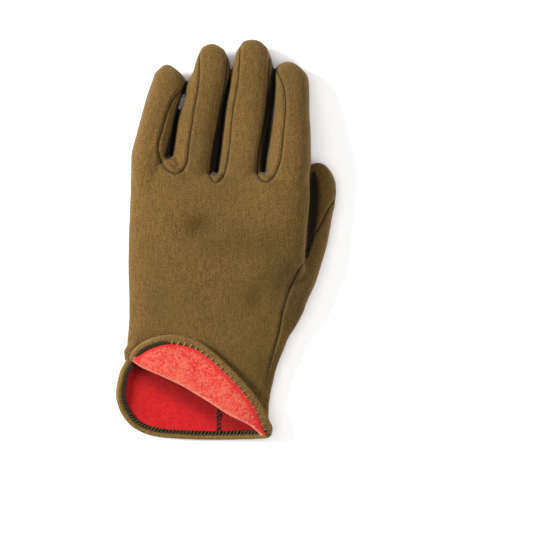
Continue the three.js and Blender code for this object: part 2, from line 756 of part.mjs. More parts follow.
// Fleece lining in the cuff, in a palm half and a back half that turns over the fold
const liningTube = handSolid(liningInset).subtract(handSolid(liningInset + liningWall));
const deepEnd = prism([
  new THREE.Vector2(across(reach.left), along(reach.near)),
  new THREE.Vector2(across(reach.right), along(reach.near)),
  new THREE.Vector2(across(reach.right), liningDepth),
  new THREE.Vector2(across(reach.left), liningDepth),
]);
const liningSleeve = liningTube.intersect(deepEnd).intersect(trim).subtract(hemRoom);
const palmLining = liningSleeve.subtract(aboveMiddle(-halfGap));
const flapLining = foldedSheet(foldRadius + liningInset, liningWall);
const jerseyRoom = handSolid(0).subtract(handSolid(liningInset)).subtract(prism(mouthOutline(seamGap)));
const backLining = liningSleeve.intersect(aboveMiddle(halfGap)).subtract(mouthCut)
  .add(flapLining.subtract(hemRoom).subtract(jerseyRoom));

const glove = new THREE.Group();
glove.add(
  meshOf('back_panel', backPanel, jerseyLook),
  meshOf('palm_panel', palmPanel, jerseyLook),
  meshOf('thumb_panel', thumbPanel, jerseyLook),
  meshOf('thumb_back', thumbBack, jerseyLook),
  meshOf('palm_lining', palmLining, liningLook),
  meshOf('back_lining', backLining, liningLook),
  meshOf('cuff_hem', hem, hemLook),
);

// The origin is under the middle of the glove, on the surface that it lies on.
const bounds = new THREE.Box3().setFromObject(glove);
const centre = bounds.getCenter(new THREE.Vector3());
glove.position.set(-centre.x, -centre.y, -bounds.min.z);

export default glove;
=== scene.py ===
import math
import bpy
import numpy as np
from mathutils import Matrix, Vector, noise
from mathutils.bvhtree import BVHTree


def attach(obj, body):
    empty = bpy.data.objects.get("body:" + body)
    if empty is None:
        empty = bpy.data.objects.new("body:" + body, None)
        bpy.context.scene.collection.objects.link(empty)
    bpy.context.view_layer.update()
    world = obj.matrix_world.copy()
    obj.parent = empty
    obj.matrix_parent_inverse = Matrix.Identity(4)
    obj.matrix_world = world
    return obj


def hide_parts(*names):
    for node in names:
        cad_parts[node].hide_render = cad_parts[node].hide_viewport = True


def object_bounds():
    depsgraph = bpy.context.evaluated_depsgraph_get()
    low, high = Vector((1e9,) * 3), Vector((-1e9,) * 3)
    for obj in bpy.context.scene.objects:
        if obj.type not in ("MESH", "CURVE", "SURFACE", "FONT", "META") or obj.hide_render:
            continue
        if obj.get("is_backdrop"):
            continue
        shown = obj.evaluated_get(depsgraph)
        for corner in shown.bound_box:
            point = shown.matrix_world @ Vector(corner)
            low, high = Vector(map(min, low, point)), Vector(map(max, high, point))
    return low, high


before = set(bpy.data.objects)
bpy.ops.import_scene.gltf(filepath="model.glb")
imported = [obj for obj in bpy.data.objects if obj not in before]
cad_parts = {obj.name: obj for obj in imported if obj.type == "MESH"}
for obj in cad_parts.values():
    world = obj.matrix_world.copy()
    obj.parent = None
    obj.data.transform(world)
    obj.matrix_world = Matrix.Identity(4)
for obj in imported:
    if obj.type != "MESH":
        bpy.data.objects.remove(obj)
cadLow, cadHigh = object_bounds()
scene = bpy.context.scene
scene.view_settings.view_transform = "Standard"
print("frame loaded with", len(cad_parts), "nodes")

# Camera straight above, framed as the picture is: 550 pixels cover the view's width
view = {
    "middle": (0.0305, -0.0221),
    "width": 0.348,
    "focusHeight": 0.012,
    "distance": 1.5,
    "sensor": 36.0,
    "nearest": 0.05,
    "farthest": 20,
}
camera = bpy.data.objects.new("camera", bpy.data.cameras.new("camera"))
camera.data.sensor_width = view["sensor"]
camera.data.lens = view["sensor"] * view["distance"] / view["width"]
camera.location = (*view["middle"], view["distance"] + view["focusHeight"])
camera.data.clip_start = view["nearest"]
camera.data.clip_end = view["farthest"]
scene.collection.objects.link(camera)
scene.camera = camera

# Pale floor and soft studio light from the upper left; a wide lamp lights the floor alone
studio = {
    "floorSize": 6.0,
    "floorColour": (0.93, 0.93, 0.93, 1),
    "floorRoughness": 0.9,
    "worldColour": (1.0, 1.0, 1.0, 1),
    "worldStrength": 0.17,
    "keyLamp": {"place": (-1.36, 0.50, 0.95), "size": 0.5, "power": 41.0},
    "fillLamp": {"place": (1.3, -0.5, 0.9), "size": 0.8, "power": 10.0},
    "floorLamp": {"place": (0.0, 0.0, 2.2), "size": 2.6, "power": 46.0},
}


def addLamp(name):
    lamp = bpy.data.objects.new(name, bpy.data.lights.new(name, "AREA"))
    lamp.data.size = studio[name]["size"]
    lamp.data.energy = studio[name]["power"]
    lamp.location = studio[name]["place"]
    lamp.rotation_euler = (-lamp.location).to_track_quat("-Z", "Y").to_euler()
    scene.collection.objects.link(lamp)
    return lamp


lamps = {name: addLamp(name) for name in ("keyLamp", "fillLamp", "floorLamp")}
world = bpy.data.worlds.new("studio")
world.use_nodes = True
background = world.node_tree.nodes["Background"].inputs
background["Color"].default_value = studio["worldColour"]
background["Strength"].default_value = studio["worldStrength"]
scene.world = world


def addFloor():
    half = studio["floorSize"] / 2
    corners = [(-half, -half, 0), (half, -half, 0), (half, half, 0), (-half, half, 0)]
    mesh = bpy.data.meshes.new("floor")
    mesh.from_pydata(corners, [], [(0, 1, 2, 3)])
    material = bpy.data.materials.new("floor")
    material.use_nodes = True
    shader = material.node_tree.nodes["Principled BSDF"]
    shader.inputs["Base Color"].default_value = studio["floorColour"]
    shader.inputs["Roughness"].default_value = studio["floorRoughness"]
    mesh.materials.append(material)
    floor = bpy.data.objects.new("floor", mesh)
    scene.collection.objects.link(floor)
    litByFloorLamp = bpy.data.collections.new("litByFloorLamp")
    litByFloorLamp.objects.link(floor)
    lamps["floorLamp"].light_linking.receiver_collection = litByFloorLamp
    floor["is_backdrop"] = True


addFloor()
print("camera, floor and light set")


# Node helpers
def feed(tree, socket, value):
    if isinstance(value, bpy.types.NodeSocket):
        tree.links.new(value, socket)
    else:
        socket.default_value = value


def addNode(tree, kind, inputs=None, **settings):
    node = tree.nodes.new(kind)
    for name, value in settings.items():
        setattr(node, name, value)
    for name, value in (inputs or {}).items():
        feed(tree, node.inputs[name], value)
    return node


def addMath(tree, operation, *values):
    return addNode(tree, "ShaderNodeMath", dict(enumerate(values)), operation=operation).outputs[0]


def addNoise(tree, vector, scale, detail=2.0, roughness=0.5):
    inputs = {"Vector": vector, "Scale": scale, "Detail": detail, "Roughness": roughness}
    return addNode(tree, "ShaderNodeTexNoise", inputs).outputs["Fac"]


def addRange(tree, value, low, high, toLow=0.0, toHigh=1.0):
    inputs = {"Value": value, "From Min": low, "From Max": high, "To Min": toLow, "To Max": toHigh}
    return addNode(tree, "ShaderNodeMapRange", inputs, interpolation_type="SMOOTHSTEP").outputs["Result"]


def addBlend(tree, share, first, second, blend="MIX"):
    inputs = {0: share, 6: first, 7: second}
    return addNode(tree, "ShaderNodeMix", inputs, data_type="RGBA", blend_type=blend).outputs[2]


def addBump(tree, shader, height, look):
    inputs = {"Height": height, "Strength": look["bump"], "Distance": look["relief"]}
    feed(tree, shader.inputs["Normal"], addNode(tree, "ShaderNodeBump", inputs).outputs["Normal"])


def objectPlace(tree):
    return addNode(tree, "ShaderNodeTexCoord").outputs["Object"]


# A value set on the mesh, and the same eased to end at another most or least
def namedValue(tree, name):
    return addNode(tree, "ShaderNodeAttribute", attribute_name=name).outputs["Fac"]


def easedValue(tree, name, toLow, toHigh):
    return addRange(tree, namedValue(tree, name), 0.0, 1.0, toLow, toHigh)


def addSocket(group, label, kind, value=None, direction="INPUT"):
    kind = "NodeSocket" + kind
    socket = group.interface.new_socket(name=label, in_out=direction, socket_type=kind)
    if value is not None:
        socket.default_value = value


def startGroup(name, inputs, outputs):
    group = bpy.data.node_groups.new(name, "ShaderNodeTree")
    for label, value in inputs.items():
        addSocket(group, label, "Float", value)
    for label in outputs:
        addSocket(group, label, "Float", direction="OUTPUT")
    return group, addNode(group, "NodeGroupInput").outputs, addNode(group, "NodeGroupOutput").inputs


knitLook = {
    "sideTurn": (0.6, 0.85),  # how far a face turns aside before its wales are counted upwards
    "drift": 70.0, "wander": 0.0026, "courseLean": 1.9, "waleTint": 0.03,
    "nap": 1500.0, "napHeight": 0.9, "courseHeight": 0.22, "waleHeight": 0.2,
    "streaks": (950.0, 150.0, 950.0), "specks": 1250.0, "contrast": (0.30, 0.70), "mottle": 34.0,
}


# Jersey knit: upright wales crossed by fine courses, short nap and heathered yarn
def knitGroup():
    sizes = {"Wale": 0.0013, "Course": 0.0011, "Streak": 0.35}
    group, given, result = startGroup("jerseyKnit", sizes, ["Height", "Heather", "Mottle"])

    def count(operation, *values):
        return addMath(group, operation, *values)

    place = objectPlace(group)
    drift = addNoise(group, place, knitLook["drift"])
    split = addNode(group, "ShaderNodeSeparateXYZ", {0: place}).outputs
    outward = addNode(group, "ShaderNodeNewGeometry").outputs["Normal"]
    normal = addNode(group, "ShaderNodeSeparateXYZ", {0: outward}).outputs
    facing = addRange(group, count("ABSOLUTE", normal["X"]), *knitLook["sideTurn"])
    waleTurn = count("DIVIDE", math.tau, given["Wale"])
    courseTurn = count("DIVIDE", math.tau, given["Course"])
    wander = count("MULTIPLY", drift, knitLook["wander"])
    acrossTop, upSide = (
        count("SINE", count("MULTIPLY", count("ADD", split[axis], wander), waleTurn)) for axis in "XZ"
    )
    topShare = count("MULTIPLY", acrossTop, count("SUBTRACT", 1.0, facing))
    wales = count("MULTIPLY_ADD", upSide, facing, topShare)
    lean = count("MULTIPLY", count("ABSOLUTE", wales), knitLook["courseLean"])
    courses = count("SINE", count("MULTIPLY_ADD", split["Y"], courseTurn, lean))
    nap = addNoise(group, place, knitLook["nap"], 2.0, 0.6)
    waleHeight = count("MULTIPLY", wales, knitLook["waleHeight"])
    relief = count("MULTIPLY_ADD", courses, knitLook["courseHeight"], waleHeight)
    feed(group, result["Height"], count("MULTIPLY_ADD", nap, knitLook["napHeight"], relief))
    stretched = addNode(group, "ShaderNodeMapping", {"Vector": place, "Scale": knitLook["streaks"]})
    streaks = addNoise(group, stretched.outputs["Vector"], 1.0, 2.0, 0.6)
    specks = addNoise(group, place, knitLook["specks"], 2.0, 0.7)
    yarn = count("MULTIPLY_ADD", count("SUBTRACT", streaks, 0.5), given["Streak"], specks)
    heather = count("MULTIPLY_ADD", wales, knitLook["waleTint"], yarn)
    feed(group, result["Heather"], addRange(group, heather, *knitLook["contrast"]))
    feed(group, result["Mottle"], addNoise(group, place, knitLook["mottle"], 3.0, 0.6))
    return group


napLook = {
    "patches": 150.0, "patchShare": 0.4, "fibreShare": 0.5, "fibreHeight": 0.5, "contrast": (0.34, 0.62),
}


# Fleece: napped fibres in clumps over a brushed ground
def fleeceGroup():
    sizes = {"Clump": 640.0, "Fibre": 1700.0}
    group, given, result = startGroup("fleeceNap", sizes, ["Height", "Tufts"])
    place = objectPlace(group)
    clumps = addNoise(group, place, given["Clump"], 3.0, 0.65)
    fibres = addNoise(group, place, given["Fibre"], 2.0, 0.6)
    height = addMath(group, "MULTIPLY_ADD", fibres, napLook["fibreHeight"], clumps)
    feed(group, result["Height"], height)
    tufts = clumps
    for field, share in (
        (addNoise(group, place, napLook["patches"]), napLook["patchShare"]),
        (fibres, napLook["fibreShare"]),
    ):
        tufts = addMath(group, "MULTIPLY_ADD", addMath(group, "SUBTRACT", field, 0.5), share, tufts)
    feed(group, result["Tufts"], addRange(group, tufts, *napLook["contrast"]))
    return group


knit = knitGroup()
fleece = fleeceGroup()


clothSpecular = 0.2


def newMaterial(name, look):
    material = bpy.data.materials.new(name)
    material.use_nodes = True
    tree = material.node_tree
    shader = tree.nodes["Principled BSDF"]
    shader.inputs["Roughness"].default_value = look["roughness"]
    shader.inputs["Specular IOR Level"].default_value = clothSpecular
    shader.inputs["Sheen Weight"].default_value = look["sheen"]
    shader.inputs["Sheen Roughness"].default_value = look["sheenRoughness"]
    shader.inputs["Sheen Tint"].default_value = look["sheenTint"]
    return material, tree, shader


def placeKnit(tree, look):
    sizes = {"Wale": look["wale"], "Course": look["course"]}
    cloth = addNode(tree, "ShaderNodeGroup", sizes, node_tree=knit).outputs
    return cloth, addBlend(tree, cloth["Heather"], look["dark"], look["light"])


jersey = {
    "dark": (0.108, 0.059, 0.0125, 1),
    "light": (0.248, 0.140, 0.0350, 1),
    "cool": (0.130, 0.084, 0.0240, 1),
    "shadow": (0.0035, 0.0040, 0.0035, 1),
    "roughness": 0.92,
    "sheen": 0.42,
    "sheenRoughness": 0.45,
    "sheenTint": (0.80, 0.62, 0.42, 1),
    "wale": 0.0013,
    "course": 0.0011,
    "bump": 0.45,
    "relief": 0.0005,
    "coolFrom": 0.40,
    "coolTo": 0.70,
    "coolShare": 0.30,
    "seamShare": 0.72,
    "hollowShare": 0.75,
    "gapShare": 0.97,
}


def jerseyMaterial():
    material, tree, shader = newMaterial("jerseyCloth", jersey)
    cloth, yarn = placeKnit(tree, jersey)
    cool = addRange(tree, cloth["Mottle"], jersey["coolFrom"], jersey["coolTo"], 0.0, jersey["coolShare"])
    colour = addBlend(tree, cool, yarn, jersey["cool"])
    # Painted shade: in the seam grooves, in the hollows of the back, and in the gaps between the fingers and
    # beside the thumb
    for share in (
        easedValue(tree, "groove", 0.0, jersey["seamShare"]),
        addMath(tree, "MULTIPLY", namedValue(tree, "hollow"), jersey["hollowShare"]),
        easedValue(tree, "between", 0.0, jersey["gapShare"]),
    ):
        colour = addBlend(tree, share, colour, jersey["shadow"])
    feed(tree, shader.inputs["Base Color"], colour)
    addBump(tree, shader, cloth["Height"], jersey)
    return material


lining = {
    # edge: colour of the painted highlight along the fold's roll
    "edge": (1.0, 0.31, 0.20, 1),
    "foldHighlightShare": 0.95,
    "highlightNapFrom": 0.55,
    "plainNap": 0.15,
    "insideShade": 0.5,
    "roughness": 0.95,
    "sheen": 0.35,
    "sheenRoughness": 0.45,
    "sheenTint": (1.0, 0.55, 0.45, 1),
    "relief": 0.0009,
}
flapNap = {"ground": (0.84, 0.030, 0.030, 1), "tuft": (0.93, 0.185, 0.115, 1), "bump": 0.8}
palmNap = {"ground": (0.58, 0.010, 0.014, 1), "tuft": (0.70, 0.018, 0.020, 1), "bump": 0.5}


def fleeceMaterial(name, look):
    material, tree, shader = newMaterial(name, look)
    nap = addNode(tree, "ShaderNodeGroup", node_tree=fleece).outputs
    napped = addMath(tree, "MULTIPLY", nap["Tufts"], easedValue(tree, "plain", 1.0, look["plainNap"]))
    colour = addBlend(tree, napped, look["ground"], look["tuft"])
    # painted highlight along the fold's roll, broken up by the nap
    highlightByNap = addRange(tree, nap["Tufts"], 0.0, 1.0, look["highlightNapFrom"], 1.0)
    edge = addMath(tree, "MULTIPLY", easedValue(tree, "foldHighlight", 0.0, look["foldHighlightShare"]), highlightByNap)
    highlighted = addBlend(tree, edge, colour, look["edge"])
    # painted shade, deeper under the fold
    dim = easedValue(tree, "inside", 1.0, look["insideShade"])
    shade = addNode(tree, "ShaderNodeCombineColor", dict.fromkeys(range(3), dim)).outputs["Color"]
    feed(tree, shader.inputs["Base Color"], addBlend(tree, 1.0, highlighted, shade, "MULTIPLY"))
    addBump(tree, shader, nap["Height"], look)
    return material


hem = {
    "dark": (0.132, 0.077, 0.018, 1),
    "light": (0.335, 0.190, 0.050, 1),
    "under": (0.028, 0.027, 0.014, 1),
    "underFrom": 0.42,
    "underTo": 0.62,
    "underShare": 0.92,
    "roughness": 0.9,
    "sheen": 0.25,
    "sheenRoughness": 0.5,
    "sheenTint": (0.75, 0.60, 0.42, 1),
    "wale": 0.0011,
    "course": 0.0009,
    "bump": 0.5,
    "relief": 0.0005,
}


# Edge band: knit outside, ribbed by the overlock on its inner side; that side is darker from the overlock's
# dark thread along the palm, and from painted shade at both ends of the flap
def hemMaterial():
    material, tree, shader = newMaterial("hemBand", hem)
    cloth, yarn = placeKnit(tree, hem)
    inner = namedValue(tree, "inner")
    under = addRange(tree, inner, hem["underFrom"], hem["underTo"], 0.0, hem["underShare"])
    feed(tree, shader.inputs["Base Color"], addBlend(tree, under, yarn, hem["under"]))
    addBump(tree, shader, cloth["Height"], hem)
    return material


thread = {
    "black": (0.020, 0.017, 0.014, 1),
    "brown": (0.125, 0.092, 0.036, 1),
    "tan": (0.46, 0.32, 0.14, 1),
    "darker": 0.45,
    "strands": 2600.0,
    "roughness": 0.7,
    "sheen": 0.1,
    "sheenRoughness": 0.5,
    "sheenTint": (1, 1, 1, 1),
    "bump": 0.4,
    "relief": 0.0002,
}


def threadMaterial(name, colour):
    material, tree, shader = newMaterial(name, thread)
    strands = addNoise(tree, objectPlace(tree), thread["strands"])
    dark = tuple(thread["darker"] * value for value in colour[:3]) + (1,)
    feed(tree, shader.inputs["Base Color"], addBlend(tree, strands, dark, colour))
    addBump(tree, shader, strands, thread)
    return material


jerseyCloth = jerseyMaterial()
flapFleece = fleeceMaterial("flapFleece", {**lining, **flapNap})
palmFleece = fleeceMaterial("palmFleece", {**lining, **palmNap})
hemCloth = hemMaterial()
blackThread, brownThread, tanThread = (
    threadMaterial(name + "Thread", thread[name]) for name in ("black", "brown", "tan")
)
print("materials made")

# Shape of the glove in metres; the tables are in percent of its length and its palm's width
glove = {
    "length": 0.254,
    "palmWidth": 0.112,
    "handThickness": 0.028,
    "fingerThickness": 0.023,
    "thumbWidth": 0.027,
    "thumbThickness": 0.0164,
    "indexSideLift": 0.0088,
    "jerseyWall": 0.0015,
    "liningWall": 0.0015,
    "seamGap": 0.0003,
    "roundness": 2.3,
    "dimpleDepth": 0.0034,
    "foldRadius": 0.0009,
    "liningDepth": 0.092,
}
tableOrigin = np.array([-0.00473, -0.127, 0.0])
percent = 0.01
millimetre = 0.001
halfGap = 0.00001  # half the gap of a pulled tight seam
liningInset = glove["jerseyWall"] + glove["seamGap"]
stackHeight = liningInset + glove["liningWall"]


def table(columns, rows):
    names = columns.split()
    return [dict(zip(names, row)) for row in rows]


handRows = table("along left right middle half", [
    (-8, -58, 27.5, 28, 27),
    (0, -58, 29.5, 28, 27),
    (7, -58, 28.2, 28, 28),
    (12.6, -57.6, 29.4, 29, 29),
    (19, -54.5, 33.2, 31, 31),
    (25, -52.3, 38.6, 34, 34.5),
    (32, -51.2, 44.4, 38, 39.5),
    (38.6, -51.2, 47.2, 42, 44.5),
    (45.2, -51.3, 48.2, 45, 48.5),
    (52.9, -50.8, 49.6, 46.5, 51),
    (61, -50.1, 51.2, 46, 49.5),
])
webRows = table("along half", [(61.2, 100), (63.4, 97), (65.0, 88), (66.0, 70), (66.5, 45)])
webEdges = {"left": -50.0, "right": 51.0}
pinkyWeb = {"rise": 4.6, "from": -16, "to": -27}
digitColumns = "along centre width thickness"
# Towards a gap a finger's upper side is slimmer, and half way down it bulges against its neighbour
slimSides = "left right pressLeft pressRight"
digits = {
    "pinky": {
        "width": 0.0255,
        "tip": (93.9, -29.6),
        "slim": table("along right pressRight", [
            (61, 2.2, 1.0), (69, 2.6, 1.1), (72.4, 2.0, 0.8), (77.4, 1.2, 0.85), (81, 0.8, 0.6),
            (83.4, 0.8, -0.6), (85.8, 0.8, -0.6), (88, 0.4, 0.9), (90, 0.3, 0.6), (92, 0, 0), (94, 0, 0),
        ]),
        "rows": table(digitColumns, [
            (56, -36, 50, 40),
            (61, -38.4, 80, 77),
            (67.7, -38.9, 95, 95),
            (72.4, -38.1, 99, 97),
            (77.4, -35.8, 90, 97),
            (82.4, -33.1, 87, 94),
            (86.9, -30, 87.5, 90),
            (90, -28.5, 80, 80),
            (91.7, -29.2, 63, 66),
            (93.1, -29.4, 34, 38),
        ]),
    },
    "ring": {
        "width": 0.029,
        "tip": (99, -4.4),
        "slim": table("along " + slimSides, [
            (61, 0.8, 2.6, 1.0, 0.8), (67.7, 0.8, 3.0, 1.1, 0.8), (72.4, 0.6, 2.6, 0.8, 1.0),
            (77.4, 0.5, 2.1, 0.85, 1.0), (81, 0.4, 1.6, 0.6, 0.95), (83.4, 0.4, 1.3, -0.6, 0.95),
            (85.8, 0.4, 0.9, -0.6, 1.1), (88, 0.2, 0.7, 0.9, 1.0), (90, 0.2, 0.4, 0.5, 0.8),
            (92, 0, 0.2, 0, 0.2), (96, 0, 0, 0, 0),
        ]),
        "rows": table(digitColumns, [
            (56, -14.3, 60, 50),
            (61, -14.3, 84, 90),
            (67.7, -14.1, 97.5, 99),
            (72.4, -13.1, 99.5, 100),
            (77.4, -11.8, 98.5, 100),
            (82.4, -9.9, 93.5, 98),
            (86.9, -7.4, 89, 96),
            (90.6, -5.3, 84, 90),
            (94.8, -3.8, 70, 74),
            (97.1, -4.2, 54, 56),
            (98.3, -4.4, 33, 36),
        ]),
    },
    "middle": {
        "width": 0.0294,
        "tip": (100, 18.4),
        "slim": table("along " + slimSides, [
            (61, 0.7, 2.6, 0.8, 1.1), (67.7, 0.7, 3.0, 0.8, 1.15), (72.4, 0.5, 3.0, 1.0, 1.15),
            (77.4, 0.4, 2.8, 1.0, 1.15), (82.4, 0.3, 2.4, 0.95, 1.05), (86.2, 0.2, 1.7, 1.1, 1.0),
            (90, 0.2, 1.0, 0.8, 1.0), (92, 0.1, 0.6, 0.2, 0.7), (95, 0, 0, 0, 0), (97, 0, 0, 0, 0),
        ]),
        "rows": table(digitColumns, [
            (56, 12.1, 60, 50),
            (61, 12.1, 84, 92),
            (67.7, 12.1, 97, 100),
            (72.4, 13.8, 98, 101),
            (77.4, 15.2, 99, 101),
            (82.4, 16.3, 99, 100),
            (87.7, 17.9, 94, 97),
            (92, 18.7, 87, 92),
            (95.1, 19.2, 78, 82),
            (97.7, 19, 62, 64),
            (99.3, 18.7, 40, 42),
        ]),
    },
    "index": {
        "width": 0.0265,
        "tip": (94.6, 38.9),
        "slim": table("along left pressLeft", [
            (61, 0.6, 1.1), (67.7, 0.6, 1.15), (77.4, 0.5, 1.15), (82.4, 0.4, 1.05), (88, 0.2, 1.0),
            (91, 0, 1.0), (92.5, 0, 0.5), (94, 0, 0),
        ]),
        "rows": table(digitColumns, [
            (56, 36, 50, 40),
            (61, 38.6, 78, 77),
            (67.7, 38.9, 106, 98),
            (72.4, 39.9, 99, 98),
            (77.4, 40.5, 91, 98),
            (82.4, 40.7, 85, 96),
            (87.7, 41.1, 81, 92),
            (90.6, 40.7, 78, 84),
            (92.5, 39.5, 64, 68),
            (93.8, 38.9, 42, 46),
        ]),
    },
}
thumbRows = table("along centre width thickness rise", [
    (24, 29, 58, 46, 116),
    (27.5, 32.4, 80, 58, 116),
    (31.5, 35, 100, 94, 115),
    (34.6, 37, 104, 118, 116),
    (38.6, 40.8, 107, 118, 116),
    (43.7, 44.6, 107, 108, 106),
    (49.2, 49, 101.5, 101, 99),
    (55.1, 51.8, 98.5, 100, 98),
    (60.6, 54.1, 98.5, 99, 98),
    (64.2, 54.8, 92.5, 92, 98),
    (66.7, 55, 72, 74, 98),
    (68.3, 55.3, 46, 48, 98),
])
thumb = {"width": glove["thumbWidth"], "tip": (69.3, 55.5), "rows": thumbRows}
fingerMiddles = table("along middle", [(61, 46), (72, 44), (84, 41), (100, 39.5)])
liftAcross = {"from": 4, "to": 46}
liftAlong = {"from": 37, "rise": 9, "fade": 70, "fall": 22}
dents = table("across along acrossRadius alongRadius depth", [
    (-10.6, 53.2, 9, 2.9, 1),
    (21.6, 35.2, 4.5, 2.6, 0.45),
    (-30, 33, 9, 6, 0.3),
])

# Seams in plan, across and along: three that run round the finger crotches, and one at the thumb's side
crotchSeams = {
    "pinky": [
        (-25, 96), (-18.6, 89.2), (-26.2, 84.6), (-31.8, 77.3), (-34.1, 72.6), (-32.2, 69.2),
        (-27.9, 66.9), (-22.6, 66.4), (-18.3, 68.6), (-16.8, 73.4), (-14, 81.6), (-11.2, 89.8),
        (-11.2, 96), (-12, 103),
    ],
    "middle": [
        (2, 103), (4.2, 96), (3.4, 89.5), (0, 81.6), (-3.4, 72.4), (-5, 67), (-4, 64.9),
        (-1.6, 64.1), (1.6, 65), (3.8, 67.6), (6, 73.4), (7.7, 81.6), (10.8, 89.8), (11.7, 97),
        (11.7, 104),
    ],
    "index": [
        (28, 104), (28.6, 97), (27.8, 91), (25.6, 79.8), (22.4, 72.4), (21.6, 67.4), (23.2, 65),
        (26.6, 64.2), (30.2, 65.2), (34.2, 69.1), (36, 75.4), (37.4, 83.6), (36, 88.3),
        (32.2, 92.4), (29.5, 98),
    ],
}
stripSeam = [
    (48.2, 44.7), (43.4, 41.5), (40, 38), (38.3, 35.8), (35.4, 31.5), (33.6, 27.1),
    (31.2, 23.3), (27.8, 17.1), (25.6, 10.1), (25.6, -12),
]
palmSeam = [(35.4, 45.4), (27.5, 37.5), (19.6, 27.3), (10.6, 15.9), (2.7, 5.9), (-0.6, -12)]
thumbSeam = [
    (66.5, 60.9), (60.9, 57.2), (56.4, 53.2), (53, 51), (50.2, 47.8), (44, 47.2), (30, 47.2),
]
foldLine = {
    "left": (-49.9, 20.1), "right": (25.4, 0.8), "bow": 0.0040,
    "shift": 0.0021,  # the roll of the fold stands this much further in, so its edge meets the line
    "shiftRise": 0.35, "shiftEnd": 1.15, "shiftFall": 0.3,
}
mouthMiddle = (-12, 12)
flapEdge = [
    (-51.4, 20.4), (-48.5, 22.6), (-42, 24.8), (-31.3, 26.3), (-22.8, 26.3), (-10.9, 24.8),
    (-2.4, 22.1), (8.3, 17.6), (19.1, 12.1), (25.6, 7.4), (29.4, 3.4), (29.8, 1.9),
]
palmEdge = [
    (-52.4, 20.6), (-55.4, 17.6), (-57.4, 14.4), (-58.1, 10.9), (-56.1, 7.1), (-49.9, 3.4),
    (-40, 1.2), (-24.2, 0.3), (-6.4, 0), (11.7, 0.1), (22, 0.3), (27.5, 0.6), (29.9, 1.5),
]


def across(share):
    return np.asarray(share, float) * percent * glove["palmWidth"]


def along(share):
    return np.asarray(share, float) * percent * glove["length"]


def planPoints(pairs):
    pairs = np.array(pairs, float)
    return np.stack([across(pairs[:, 0]), along(pairs[:, 1])], axis=1)


farLeft, farRight, farNear, farEnd = across(-95), across(95), along(-30), along(120)


def smoothStep(value):
    t = np.clip(value, 0, 1)
    return t * t * (3 - 2 * t)


def unit(vectors):
    return vectors / np.linalg.norm(vectors, axis=1)[:, None]


def between(start, end, startSlope, endSlope, t):
    t2 = t * t
    t3 = t2 * t
    return (
        (2 * t3 - 3 * t2 + 1) * start + (t3 - 2 * t2 + t) * startSlope
        + (3 * t2 - 2 * t3) * end + (t3 - t2) * endSlope
    )


# Value of one column at places along the glove, on a smooth curve through the rows
def columnAt(rows, key, place):
    at = np.array([row["along"] for row in rows], float)
    value = np.array([row[key] for row in rows], float)
    place = np.asarray(place, float)
    index = np.clip(np.searchsorted(at, place, side="left") - 1, 0, len(at) - 2)
    before = np.maximum(index - 1, 0)
    after = np.minimum(index + 2, len(at) - 1)
    span = at[index + 1] - at[index]
    t = np.clip((place - at[index]) / span, 0, 1)
    startSlope = (value[index + 1] - value[before]) / (at[index + 1] - at[before]) * span
    endSlope = (value[after] - value[index]) / (at[after] - at[index]) * span
    return between(value[index], value[index + 1], startSlope, endSlope, t)


# Height of the surface half way between palm and back
def middleHeight(x, y):
    place = y / (percent * glove["length"])
    near = columnAt(handRows, "middle", place)
    far = columnAt(fingerMiddles, "middle", place)
    base = np.where(place < fingerMiddles[0]["along"], near, far) * percent * glove["handThickness"]
    side = x / (percent * glove["palmWidth"])
    acrossShare = smoothStep((side - liftAcross["from"]) / (liftAcross["to"] - liftAcross["from"]))
    rising = smoothStep((place - liftAlong["from"]) / liftAlong["rise"])
    fading = 1 - smoothStep((place - liftAlong["fade"]) / liftAlong["fall"])
    return base + glove["indexSideLift"] * acrossShare * np.minimum(rising, fading)


def spotsAt(spots, x, y):
    depth = np.zeros(np.broadcast(x, y).shape)
    for spot in spots:
        u = (x - across(spot["across"])) / across(spot["acrossRadius"])
        v = (y - along(spot["along"])) / along(spot["alongRadius"])
        depth = depth + spot["depth"] * np.exp(-(u * u + v * v))
    return depth


def dentAt(x, y):
    return glove["dimpleDepth"] * spotsAt(dents, x, y)


def roundedPower(value):
    return np.sign(value) * np.abs(value) ** (2 / glove["roundness"])


def handSection(y):
    place = y / (percent * glove["length"])
    left = across(columnAt(handRows, "left", place))
    right = across(columnAt(handRows, "right", place))
    half = columnAt(handRows, "half", place) * percent * glove["handThickness"]
    return (left + right) / 2, (right - left) / 2, half


# Height of the hand's outer surface on the back, side 1, or on the palm, side -1
def handHeight(x, y, side):
    centre, halfWidth, half = handSection(y)
    u = np.minimum(np.abs(x - centre) / halfWidth, 1)
    share = (1 - u ** glove["roundness"]) ** (1 / glove["roundness"])
    dent = dentAt(x, y) * share if side > 0 else 0
    return np.maximum(middleHeight(x, y) + side * half * share - dent, 0)


slimming = {"fullAt": 0.75, "pressSpread": 0.3}  # heights on the finger's section, 1 at its top


